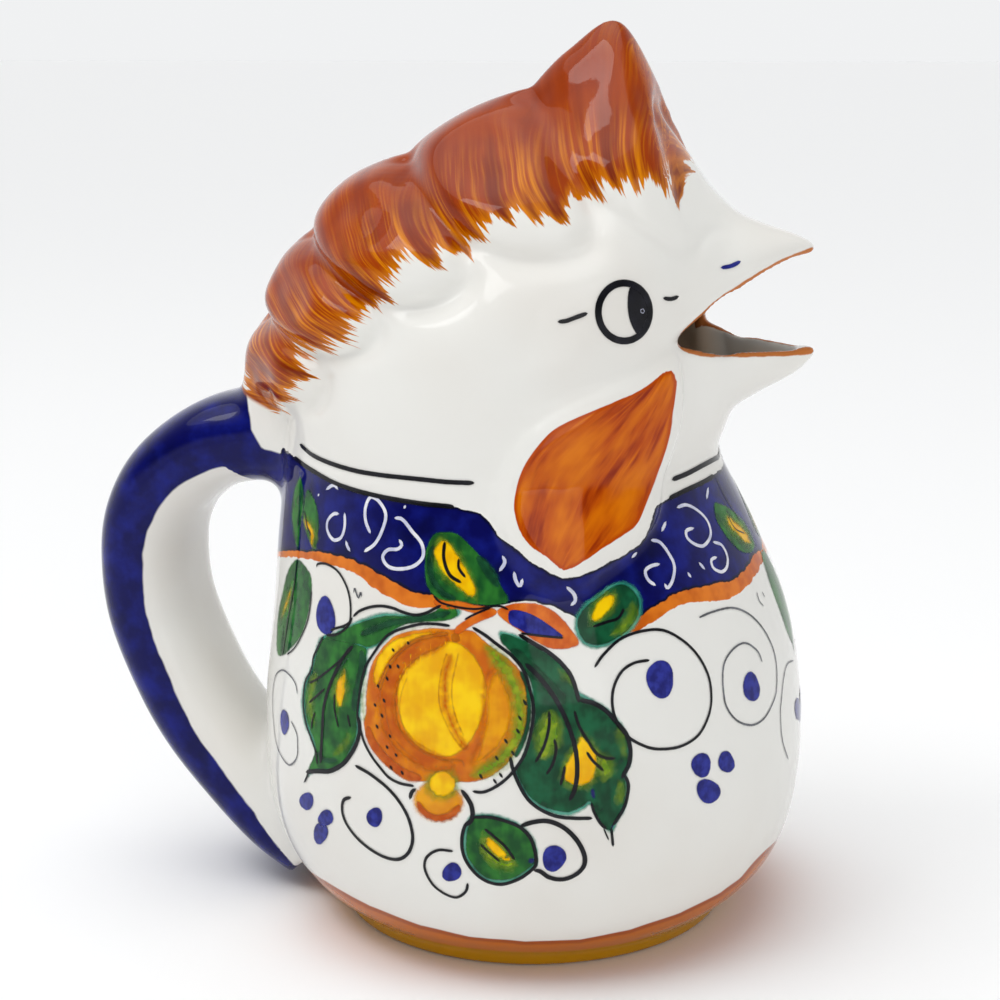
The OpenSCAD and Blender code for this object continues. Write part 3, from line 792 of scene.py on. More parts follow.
def skinColour(tree):
    tone = {key: linear(value) for key, value in glazeColours.items()}
    value = {key: addNode(tree, "Attribute", attribute_name=key).outputs["Fac"] for key in skinValues}
    place = addNode(tree, "SeparateXYZ", addNode(tree, "TexCoord").outputs["Object"])
    height = addNode(tree, "Math", place.outputs[2], mm, **over)
    share = addNode(tree, "MapRange", grain(tree, brush["cloud"]), -0.1, 0.35, **smooth)
    colour = addNode(tree, "Mix", share, tone["white"], tone["whiteThin"], **inColour)
    # mouth and hollow: a warm painted shade over the white glaze, the tint of the shaded mouth
    share = addNode(tree, "MapRange", value["within"], 0.0, 3.0, **smooth)
    colour = addNode(tree, "Mix", share, colour, tone["inside"], **inColour)
    # cobalt, brushed in broad strokes that pool darker at the edge
    share = addNode(tree, "MapRange", grain(tree, brush["cobalt"], 4.0), -0.12, 0.25, **smooth)
    cobalt = addNode(tree, "Mix", share, tone["cobalt"], tone["cobaltLight"], **inColour)
    share = addNode(tree, "MapRange", grain(tree, brush["cobaltPool"], 2.0), 0.04, 0.4, **smooth)
    cobalt = addNode(tree, "Mix", share, cobalt, tone["cobaltDark"], **inColour)
    wobble = addNode(tree, "Math", grain(tree, brush["edge"], 3.0), 1.3, **times)
    edge = addNode(tree, "Math", value["collar"], wobble, **plus)
    share = addNode(tree, "MapRange", edge, 0.9, 0.2, **smooth)
    pooled = addNode(tree, "Mix", share, cobalt, tone["cobaltDark"], **inColour)
    share = addNode(tree, "MapRange", grain(tree, brush["band"]), -0.15, 0.25, **smooth)
    orange = addNode(tree, "Mix", share, tone["band"], tone["bandDark"], **inColour)
    bandEdge = addNode(tree, "Math", value["band"], wobble, **plus)
    share = addNode(tree, "MapRange", bandEdge, -0.1, 0.15, **smooth)
    colour = addNode(tree, "Mix", share, colour, orange, **inColour)
    share = addNode(tree, "MapRange", edge, -0.12, 0.12, **smooth)
    colour = addNode(tree, "Mix", share, colour, pooled, **inColour)
    wobble = addNode(tree, "Math", grain(tree, brush["handleEdge"]), 1.6, **times)
    edge = addNode(tree, "Math", value["handlePaint"], wobble, **plus)
    share = addNode(tree, "MapRange", edge, -0.2, 0.35, **smooth)
    colour = addNode(tree, "Mix", share, colour, cobalt, **inColour)
    # foot: a reddish line over orange, and ochre where the pot meets the table
    level = addNode(tree, "Math", brush["footLine"], height, **minus)
    level = addNode(tree, "Math", value["foot"], level, **most)
    wobble = addNode(tree, "Math", grain(tree, brush["footEdge"]), 1.0, **times)
    level = addNode(tree, "Math", level, wobble, **plus)
    share = addNode(tree, "MapRange", level, 2.2, 4.2, **smooth)
    foot = addNode(tree, "Mix", share, tone["foot"], tone["footYellow"], **inColour)
    share = addNode(tree, "MapRange", level, 1.1, 0.5, **smooth)
    foot = addNode(tree, "Mix", share, foot, tone["footDark"], **inColour)
    edge = addNode(tree, "Math", level, value["footPaint"], **least)
    share = addNode(tree, "MapRange", edge, -0.15, 0.15, **smooth)
    colour = addNode(tree, "Mix", share, colour, foot, **inColour)
    # comb: long thin strokes from the ridge that feather out at the root
    (fineAcross, fineAlong), (broadAcross, broadAlong) = brush["combFine"], brush["combBroad"]
    fine = streaks(tree, value["combAcross"], fineAcross, value["combRise"], fineAlong)
    broad = streaks(tree, value["combAcross"], broadAcross, value["combRise"], broadAlong)
    tuft = addNode(tree, "Math", addNode(tree, "Math", fine, 12.0, **times),
                   addNode(tree, "Math", broad, 22.0, **times), **plus)
    edge = addNode(tree, "Math", value["combPaint"], tuft, **plus)
    low = addNode(tree, "MapRange", edge, 25.0, 6.0, **smooth)
    share = addNode(tree, "MapRange", grain(tree, brush["combCloud"], 1.5), -0.12, 0.16, **smooth)
    paint = addNode(tree, "Mix", share, tone["comb"], tone["combRust"], **inColour)
    share = addNode(tree, "MapRange", fine, -0.08, 0.2, **smooth)
    share = addNode(tree, "Math", share, low, **times)
    paint = addNode(tree, "Mix", share, paint, tone["combAmber"], **inColour)
    depth = addNode(tree, "Math", addNode(tree, "Math", low, 0.5, **times), 0.45, **plus)
    share = addNode(tree, "MapRange", broad, -0.06, 0.2, **smooth)
    share = addNode(tree, "Math", share, depth, **times)
    paint = addNode(tree, "Mix", share, paint, tone["combDark"], **inColour)
    share = addNode(tree, "MapRange", edge, 4.0, 0.0, **smooth)
    share = addNode(tree, "Math", share, 0.65, **times)
    paint = addNode(tree, "Mix", share, paint, tone["combAmber"], **inColour)
    edge = addNode(tree, "Math", edge, value["combClear"], **least)
    share = addNode(tree, "MapRange", edge, -0.3, 0.7, **smooth)
    colour = addNode(tree, "Mix", share, colour, paint, **inColour)
    # wattle: strokes down its length that follow its outline, amber where the brush lifted
    (fineAcross, fineAlong), (broadAcross, broadAlong) = brush["wattleFine"], brush["wattleBroad"]
    fine = streaks(tree, value["wattleAcross"], fineAcross, value["wattleDown"], fineAlong)
    broad = streaks(tree, value["wattleAcross"], broadAcross, value["wattleDown"], broadAlong)
    share = addNode(tree, "MapRange", broad, -0.22, 0.1, **smooth)
    paint = addNode(tree, "Mix", share, tone["wattleAmber"], tone["wattle"], **inColour)
    share = addNode(tree, "MapRange", fine, 0.0, 0.3, **smooth)
    paint = addNode(tree, "Mix", share, paint, tone["wattleAmber"], **inColour)
    between = addNode(tree, "Math", broad, addNode(tree, "Math", fine, -0.6, **times), **plus)
    share = addNode(tree, "MapRange", between, 0.0, 0.22, **smooth)
    paint = addNode(tree, "Mix", share, paint, tone["wattleDark"], **inColour)
    wobble = addNode(tree, "Math", fine, 0.7, **times)
    edge = addNode(tree, "Math", value["wattlePaint"], wobble, **plus)
    share = addNode(tree, "MapRange", edge, 1.2, 0.3, **smooth)
    paint = addNode(tree, "Mix", share, paint, tone["wattle"], **inColour)
    share = addNode(tree, "MapRange", edge, -0.12, 0.12, **smooth)
    colour = addNode(tree, "Mix", share, colour, paint, **inColour)
    # brown line along the beak's rims
    wobble = addNode(tree, "Math", grain(tree, brush["lip"]), 0.6, **times)
    edge = addNode(tree, "Math", value["rim"], wobble, **plus)
    share = addNode(tree, "MapRange", edge, -0.1, 0.25, **smooth)
    return addNode(tree, "Mix", share, colour, tone["rim"], **inColour)


paintedSkin = glossyGlaze("painted tin glaze", skinColour)
for name in outsides:
    own = faces[ownerOf == name]
    used, corners = np.unique(own, return_inverse=True)
    piece = buildMesh(name + "_glazed", points[used], corners.reshape(-1, 3), normals[used],
                      {key: amounts[used] for key, amounts in skinValues.items()})
    piece.data.materials.append(paintedSkin)
    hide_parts(*((name, "foot") if name == "body_shell" else (name,)))
    print(name, len(own), "triangles")


# Brush marks lie on the skin as thin skins of their own. Each mark is a pigment, a layer and
# pixels; the far side gets its mirror image. Step, the fills and turned are in pixels, the rest
# in millimetres. The fill is finer where the pot has turned away from the viewer.
marks = {"lift": 0.05, "layer": 0.02, "step": 2.2, "fill": 5.0, "fineFill": 1.5, "turned": (310, 745),
         "overMiddle": 0.1, "leap": 9, "least": 0.02, "thinHalf": 0.7}


# Points put onto the glaze, a layer's height above it, and the glaze's direction there
def onSkin(places, layer):
    places = np.array(places)
    for _ in range(3):
        places -= slopeAt(skinField, places, grid["voxel"]) * sample(skinField, places)[:, None]
    facing = slopeAt(skinField, places, 1.2 * grid["voxel"])
    return places + facing * (marks["lift"] + marks["layer"] * layer), facing


# A stroke with a round or drawn-out end, as rows across its width
def strokeMesh(layer, width, pixels, closed=False, taper=1.2):
    way = np.array(pixels, float)
    if closed:
        way = rounded(way, 8)
        way = np.concatenate([way, way[:1]])
    chord = np.concatenate([[0], np.cumsum(np.linalg.norm(np.diff(way, axis=0), axis=1))])
    count = max(int(chord[-1] / marks["step"]), 5)
    path = flow(np.column_stack([chord, way]), np.linspace(0, chord[-1], count))[:, 1:]
    places, found = seenAt(path)
    places = places[found]
    if len(places) < 3:
        return None
    jumps = np.linalg.norm(np.diff(places, axis=0), axis=1)
    leap = np.flatnonzero(jumps > marks["leap"])
    if len(leap):
        keep = max(np.split(np.arange(len(places)), leap + 1), key=len)
        places = places[keep]
        if len(places) < 3:
            return None
    along = np.concatenate([[0], np.cumsum(np.linalg.norm(np.diff(places, axis=0), axis=1))])
    half = width / camera["pixelsPerMm"] / 2
    tangent = np.gradient(places, axis=0)
    if closed:
        tangent[0] = tangent[-1] = places[1] - places[-2]
    sideways = np.cross(slopeAt(skinField, places, 1.5), tangent)
    sideways /= np.maximum(np.linalg.norm(sideways, axis=1), 1e-9)[:, None]
    reach = max(half * taper, 0.2)
    end = np.ones(len(along)) if closed else np.clip(np.minimum(along, along[-1] - along) / reach, 0, 1)
    room = half * np.sqrt(1 - (1 - end) ** 2) + marks["least"]
    steps = np.linspace(-1, 1, 3 if half < marks["thinHalf"] else 7)
    spread = places[:, None] + sideways[:, None] * (room[:, None] * steps)[..., None]
    edge = room[:, None] * (1 - np.abs(steps))
    across = len(steps)
    a = (np.arange(len(places) - 1)[:, None] * across + np.arange(across - 1)).ravel()
    corners = np.stack([a, a + across, a + across + 1, a + 1], -1)
    flat = spread.reshape(-1, 3)
    corners = corners[flat[corners, 1].mean(1) < marks["overMiddle"]]
    return layer, flat, corners, {
        "edge": edge.ravel(), "along": np.repeat(along, across), "across": (room[:, None] * steps).ravel()}


# A wash inside an outline, filled with triangles
def washMesh(layer, outline, grow=0.0):
    outline = rounded(outline, 3)
    if grow:
        middle = outline.mean(0)
        outline = outline + grow * (outline - middle) / np.linalg.norm(outline - middle, axis=1)[:, None]
    low, high = outline.min(0), outline.max(0)
    facesUs = low[0] > marks["turned"][0] and high[0] < marks["turned"][1]
    fill = marks["fill"] if facesUs else marks["fineFill"]
    inner = np.meshgrid(np.arange(low[0], high[0], fill), np.arange(low[1], high[1], fill))
    inner = np.stack(inner, -1).reshape(-1, 2)
    inner = inner[insideOf(inner, outline) > 0.3 * fill / camera["pixelsPerMm"]]
    flat = np.concatenate([outline, inner])
    ring = [(i, (i + 1) % len(outline)) for i in range(len(outline))]
    flat, _, corners = delaunay_2d_cdt([Vector(p) for p in flat], ring, [], 1, 0.01)[:3]
    flat = np.array([tuple(p) for p in flat])
    corners = np.array([c for c in corners if len(c) == 3])
    places, found = seenAt(flat)
    corners = corners[found[corners].all(1)]
    corners = corners[places[corners, 1].min(1) < marks["overMiddle"]]
    places[:, 1] = np.minimum(places[:, 1], marks["overMiddle"])
    used, corners = np.unique(corners, return_inverse=True)
    corners = corners.reshape(-1, 3)
    amount = insideOf(flat, outline)[used]
    sides = places[used][corners]
    turned = np.cross(sides[:, 1] - sides[:, 0], sides[:, 2] - sides[:, 0]) @ ahead
    corners[turned > 0] = corners[turned > 0][:, ::-1]
    return layer, places[used], corners, {
        "edge": np.maximum(amount, 0), "along": flat[used, 1] / camera["pixelsPerMm"],
        "across": flat[used, 0] / camera["pixelsPerMm"]}


# An uneven dot, as a loaded brush leaves it
def dotOutline(across, down, wide, high, seed):
    turn = np.linspace(0, 2 * math.pi, 12, endpoint=False)
    wobble = 1 + 0.07 * np.sin(2 * turn + seed) + 0.05 * np.sin(3 * turn + 2.1 * seed)
    return np.column_stack([across + wide * wobble * np.cos(turn), down + high * wobble * np.sin(turn)])


# Every mark of one pigment joined in one piece, with its mirror images
def paintPiece(name, meshes, material):
    meshes = [mesh for mesh in meshes if mesh]
    places, facing, corners, numbers, start = [], [], [], {"edge": [], "along": [], "across": []}, 0
    for layer, spots, faceCorners, amounts in meshes:
        spots, direction = onSkin(spots, layer)
        for side in (1, -1):
            order = faceCorners if side > 0 else faceCorners[:, ::-1]
            places.append(spots * (1, side, 1))
            facing.append(direction * (1, side, 1))
            corners += (order + start).tolist()
            start += len(spots)
            for key in numbers:
                numbers[key].append(amounts[key])
    places, facing = np.concatenate(places), np.concatenate(facing)
    piece = buildMesh(name, places, corners, facing, {key: np.concatenate(v) for key, v in numbers.items()})
    piece.data.materials.append(material)
    print(name, len(places), "points")


pigments = {
    # name: dark, light, share of cover, softness of the edge in mm, size of its brush marks in mm
    "black": ("#0B0B10", "#1A1A22", 0.97, 0.14, 3.0),
    "grey": ("#3A3C44", "#6E7078", 0.85, 0.22, 3.0),
    "white": ("#C9CCE6", "#F4F4F8", 0.9, 0.16, 3.0),
    "blue": ("#1B2076", "#333C98", 0.95, 0.15, 2.0),
    "cobalt": ("#15186A", "#2A3296", 0.97, 0.25, 2.0),
    "teal": ("#2E8C77", "#58B39C", 0.75, 0.9, 4.0),
    "green": ("#134A22", "#2F7A2C", 0.96, 0.5, 4.0),
    "deepGreen": ("#0B3C24", "#16603C", 0.96, 0.5, 4.0),
    "darkGreen": ("#0F3A26", "#1F5A38", 0.8, 0.8, 2.0),
    "olive": ("#6A961E", "#A2B828", 0.8, 3.2, 2.0),
    "yellow": ("#EDAA00", "#FFD206", 0.97, 0.9, 5.0),
    "fruit": ("#C8600A", "#E48C0A", 0.95, 0.6, 5.0),
    "amber": ("#E08A04", "#F2A808", 0.9, 1.6, 4.0),
    "orange": ("#C8540E", "#E27620", 0.95, 0.5, 3.0),
    "orangeWash": ("#C25606", "#DC7A08", 0.85, 2.4, 3.0),
    "redOrange": ("#B84C12", "#D06A20", 0.85, 0.9, 2.0),
    "brownOrange": ("#B55E0C", "#CF7D18", 0.75, 0.7, 2.0),
    "navy": ("#101450", "#20267A", 0.85, 0.6, 2.0),
}


def pigmentGlaze(name):
    dark, light, cover, soft, size = pigments[name]

    def colour(tree):
        across = addNode(tree, "Attribute", attribute_name="across").outputs["Fac"]
        along = addNode(tree, "Attribute", attribute_name="along").outputs["Fac"]
        brushed = addNode(tree, "Math", streaks(tree, across, size * 0.5, along, size * 3), 0.4, **times)
        cloud = addNode(tree, "Math", grain(tree, size), brushed, **plus)
        share = addNode(tree, "MapRange", cloud, -0.2, 0.25, **smooth)
        return addNode(tree, "Mix", share, linear(dark), linear(light), **inColour)

    def alpha(tree):
        ragged = addNode(tree, "Math", grain(tree, 1.1), soft * 0.7, **times)
        edge = addNode(tree, "Attribute", attribute_name="edge").outputs["Fac"]
        edge = addNode(tree, "Math", edge, ragged, **plus)
        full = addNode(tree, "MapRange", edge, 0.0, soft, **smooth)
        full = addNode(tree, "Math", full, cover, **times)
        thin = addNode(tree, "MapRange", grain(tree, size * 1.7), 0.0, 0.4, **smooth)
        thin = addNode(tree, "Math", thin, 0.25 * (1 - cover) + 0.05, **times)
        return addNode(tree, "Math", full, addNode(tree, "Math", thin, full, **times), **minus)

    return glossyGlaze(name + " pigment under glaze", colour, alpha)


# Leaves with a teal wash that runs out from under the green, in pixels of the photograph
leaves = {
    "right": [(501, 633), (513, 635), (533, 644), (549, 654), (563, 666), (573, 680), (578, 693),
        (589, 700), (606, 710), (619, 724), (627, 739), (629, 761), (624, 773), (627, 786), (624, 806),
        (617, 819), (611, 831), (603, 827), (594, 814), (590, 802), (583, 807), (569, 813), (554, 811),
        (540, 806), (528, 796), (520, 783), (515, 769), (523, 758), (530, 739), (534, 720), (533, 700),
        (530, 683), (521, 666), (510, 653), (500, 642)],
    "low": [(473, 817), (490, 816), (506, 820), (520, 827), (530, 837), (535, 851), (535, 864),
        (528, 870), (516, 878), (501, 881), (485, 878), (473, 867), (466, 855), (465, 841), (467, 827)],
    "upper": [(326, 636), (336, 632), (349, 626), (368, 619), (386, 615), (410, 615), (429, 613),
        (443, 605), (455, 607), (459, 614), (454, 619), (443, 622), (424, 623), (403, 626), (389, 635),
        (379, 644), (367, 648), (354, 645), (340, 657), (323, 674), (311, 680), (313, 666), (318, 650)],
    "small": [(598, 597), (612, 586), (625, 584), (637, 594), (640, 605), (637, 619), (627, 632),
        (612, 642), (598, 646), (585, 643), (578, 632), (577, 619), (585, 606)],
    "left": [(323, 638), (316, 652), (313, 669), (306, 683), (304, 702), (307, 723), (313, 739),
        (315, 751), (308, 768), (310, 775), (316, 770), (330, 770), (343, 763), (351, 751), (357, 737),
        (358, 722), (359, 702), (361, 688), (366, 674), (367, 657), (367, 648), (354, 643)],
}
# Washes of the fruit and leaves, with their layers
washes = [
    ("teal", 0, leaves["right"]),
    ("teal", 0, leaves["low"]),
    ("teal", 0, leaves["upper"]),
    ("teal", 0, leaves["small"]),
    ("teal", 0, leaves["left"]),
    ("green", 1, leaves["upper"]),
    ("green", 1, leaves["left"]),
    ("deepGreen", 1, leaves["right"]),
    ("green", 1, leaves["low"]),
    ("green", 1, [(436, 532), (455, 532), (466, 540), (477, 551), (488, 564), (499, 581), (510, 601),
        (492, 606), (473, 605), (455, 603), (440, 601), (427, 588), (424, 569), (425, 551), (429, 540)]),
    ("deepGreen", 1, leaves["small"]),
    ("green", 1, [(714, 502), (725, 505), (738, 514), (749, 529), (755, 544), (752, 553), (742, 553),
        (731, 544), (720, 529), (714, 516)]),
    ("green", 1, [(300, 475), (304, 486), (305, 505), (302, 523), (300, 544), (298, 551), (293, 536),
        (291, 514), (293, 492)]),
    ("green", 1, [(307, 488), (316, 501), (320, 520), (319, 536), (316, 551), (310, 544), (304, 529),
        (303, 510)]),
    ("green", 1, [(298, 558), (311, 573), (313, 590), (311, 604), (308, 621), (301, 638), (292, 649),
        (284, 656), (277, 655), (276, 636), (278, 611), (283, 587), (288, 569)]),
    ("green", 1, [(760, 551), (772, 558), (786, 588), (797, 621), (803, 653), (796, 653), (786, 632),
        (777, 606), (768, 581)]),
    ("fruit", 1, [(451, 628), (431, 627), (410, 630), (396, 634), (386, 642), (377, 653), (370, 666),
        (367, 680), (365, 697), (365, 712), (363, 722), (364, 732), (368, 743), (375, 754), (384, 765),
        (392, 772), (402, 779), (410, 782), (440, 783), (450, 786), (458, 783), (473, 783), (488, 779),
        (503, 769), (513, 758), (521, 743), (528, 726), (530, 710), (530, 693), (525, 678), (518, 666),
        (508, 657), (495, 648), (483, 638), (473, 630)]),
    ("orange", 1, [(509, 604), (520, 602), (542, 604), (561, 616), (574, 632), (580, 642), (575, 648),
        (553, 650), (535, 642), (520, 632), (509, 625), (500, 618), (496, 610)]),
    ("amber", 1, [(416, 787), (411, 799), (415, 813), (428, 822), (445, 824), (458, 818), (466, 806),
        (464, 794), (457, 786), (440, 772)]),
    ("cobalt", 2, [(509, 611), (520, 610), (538, 617), (564, 636), (557, 638), (531, 635), (520, 630),
        (509, 623)]),
    ("yellow", 2, [(396, 690), (400, 667), (412, 650), (430, 641), (452, 640), (470, 649), (483, 668),
        (488, 690), (484, 716), (473, 740), (458, 755), (440, 758), (420, 750), (404, 732), (397, 710)]),
    ("yellow", 2, [(372, 676), (377, 657), (389, 642), (405, 635), (425, 631), (444, 631), (428, 640),
        (408, 647), (394, 658), (384, 674), (375, 692)]),
    ("amber", 2, [(496, 666), (506, 683), (514, 703), (513, 723), (506, 739), (495, 753), (473, 768),
        (478, 746), (484, 720), (485, 690)]),
    ("yellow", 3, [(442, 539), (433, 549), (435, 560), (442, 573), (455, 586), (466, 595), (474, 599),
        (477, 588), (470, 573), (462, 560), (455, 549), (448, 540)]),
    ("yellow", 3, [(590, 618), (594, 606), (601, 597), (612, 593), (616, 599), (612, 608), (603, 618),
        (594, 623)]),
    ("yellow", 3, [(726, 514), (735, 521), (746, 531), (752, 544), (744, 543), (735, 534), (727, 525)]),
    ("yellow", 3, [(303, 518), (310, 521), (315, 531), (315, 542), (313, 549), (310, 544), (309, 532),
        (305, 529)]),
    ("yellow", 3, [(291, 587), (284, 604), (281, 622), (285, 615), (291, 598), (293, 586)]),
    ("yellow", 3, [(346, 665), (343, 669), (337, 680), (335, 691), (336, 702), (338, 713), (343, 705),
        (346, 694), (347, 680)]),
    ("yellow", 3, [(578, 734), (589, 741), (598, 756), (594, 779), (584, 786), (573, 786), (563, 779),
        (564, 766), (571, 753), (576, 743)]),
    ("yellow", 3, [(486, 834), (496, 841), (506, 851), (513, 860), (506, 862), (496, 857), (488, 849),
        (484, 841)]),
    ("yellow", 3, [(443, 769), (454, 775), (457, 785), (453, 794), (443, 798), (432, 794), (428, 785),
        (431, 775)]),
]
# Soft strokes over them, with their widths in pixels
softStrokes = [
    ("orange", 1, 9, [(433, 601), (446, 605), (459, 605), (473, 609), (497, 612)]),
    ("orange", 2, 9, [(498, 611), (483, 616), (470, 622), (459, 630), (455, 636)]),
    ("orangeWash", 2, 27, [(451, 639), (431, 643), (412, 652), (396, 669), (389, 688), (387, 709),
        (391, 728), (403, 743), (420, 757), (438, 764), (457, 765)]),
    ("redOrange", 2, 13, [(368, 725), (371, 739), (381, 754), (395, 767), (410, 776), (423, 778)]),
    ("brownOrange", 3, 6, [(450, 633), (431, 636), (417, 640), (405, 648), (393, 660), (385, 674),
        (379, 691)]),
    ("brownOrange", 3, 3.4, [(443, 646), (422, 655), (405, 670), (397, 691), (396, 709), (400, 728),
        (411, 743), (427, 754), (445, 760), (464, 761)]),
    ("brownOrange", 3, 2.6, [(408, 676), (402, 692), (400, 711), (405, 728), (417, 742), (433, 752)]),
    ("brownOrange", 3, 2.4, [(385, 702), (387, 719), (393, 736), (405, 750), (419, 761)]),
    ("orangeWash", 3, 13, [(453, 652), (447, 669), (445, 688), (446, 706), (452, 723), (460, 739),
        (469, 751)]),
    ("brownOrange", 3, 3, [(447, 652), (442, 669), (439, 688), (440, 706), (446, 723), (455, 739),
        (466, 752)]),
    ("brownOrange", 3, 3, [(459, 652), (455, 669), (452, 687), (453, 705), (457, 720), (464, 736)]),
    ("orangeWash", 3, 10, [(495, 668), (487, 676), (484, 693), (483, 713), (481, 733), (476, 751),
        (469, 766)]),
    ("brownOrange", 3, 3, [(440, 761), (452, 759), (462, 761), (465, 768)]),
    ("brownOrange", 3, 14, [(451, 634), (456, 638), (461, 641)]),
    ("olive", 2, 12, [(483, 643), (495, 656), (506, 670), (515, 686), (519, 703), (520, 720), (517, 738),
        (506, 754), (493, 766), (478, 773), (468, 777)]),
    ("deepGreen", 3, 6, [(520, 670), (527, 686), (529, 703), (528, 723), (524, 739), (515, 758)]),
    ("olive", 2, 6, [(367, 674), (364, 688), (363, 702), (364, 716), (365, 723)]),
    ("olive", 2, 3, [(396, 633), (408, 630), (422, 627), (437, 626)]),
    ("redOrange", 3, 10, [(417, 800), (424, 812), (438, 818), (452, 814), (461, 804)]),
    ("darkGreen", 2, 12, [(361, 649), (363, 663), (360, 680), (356, 697), (354, 713)]),
    ("darkGreen", 2, 6, [(349, 656), (336, 674), (329, 688)]),
    ("darkGreen", 2, 8, [(316, 751), (326, 760), (339, 760)]),
    ("darkGreen", 2, 9, [(360, 635), (377, 628), (396, 622), (417, 619), (438, 615), (452, 612)]),
    ("olive", 2, 9, [(317, 670), (312, 688), (311, 709), (316, 728)]),
    ("olive", 2, 7, [(349, 730), (346, 744), (333, 756)]),
    ("darkGreen", 2, 9, [(434, 544), (430, 560), (432, 577), (442, 592), (457, 600)]),
    ("darkGreen", 2, 12, [(477, 555), (490, 573), (499, 588)]),
    ("olive", 2, 9, [(631, 599), (633, 612), (624, 627), (609, 636)]),
    ("olive", 2, 18, [(551, 708), (550, 726), (546, 746), (540, 761)]),
    ("olive", 2, 7, [(556, 668), (568, 678), (573, 688)]),
    ("olive", 2, 7, [(616, 726), (623, 743), (625, 761)]),
    ("olive", 2, 9, [(619, 778), (621, 792), (616, 807)]),
    ("olive", 2, 14, [(599, 751), (606, 768), (602, 784)]),
    ("darkGreen", 2, 13, [(510, 648), (533, 670), (553, 690), (566, 703)]),
    ("navy", 2, 6, [(592, 787), (594, 800)]),
    ("navy", 2, 14, [(611, 826), (613, 827)]),
    ("navy", 2, 11, [(531, 857), (532, 864)]),
    ("olive", 2, 12, [(481, 836), (490, 852), (506, 865), (518, 859)]),
    ("darkGreen", 2, 6, [(301, 483), (300, 505), (298, 529)]),
    ("darkGreen", 2, 8, [(284, 625), (283, 639), (281, 652)]),
]
# Cobalt dots: middle across and down, half width and half height
dots = [(326, 616, 10, 20), (285, 722, 4.5, 14), (375, 817, 8, 11), (452, 872, 10, 10), (554, 858, 13, 13),
        (660, 679, 15, 18.5), (751, 687, 9, 15), (798, 709, 4, 12), (307, 801, 7, 10), (326, 818, 8, 9),
        (321, 833, 8, 11), (701, 765, 11, 12), (726, 762, 9, 11), (708, 791, 12, 13)]
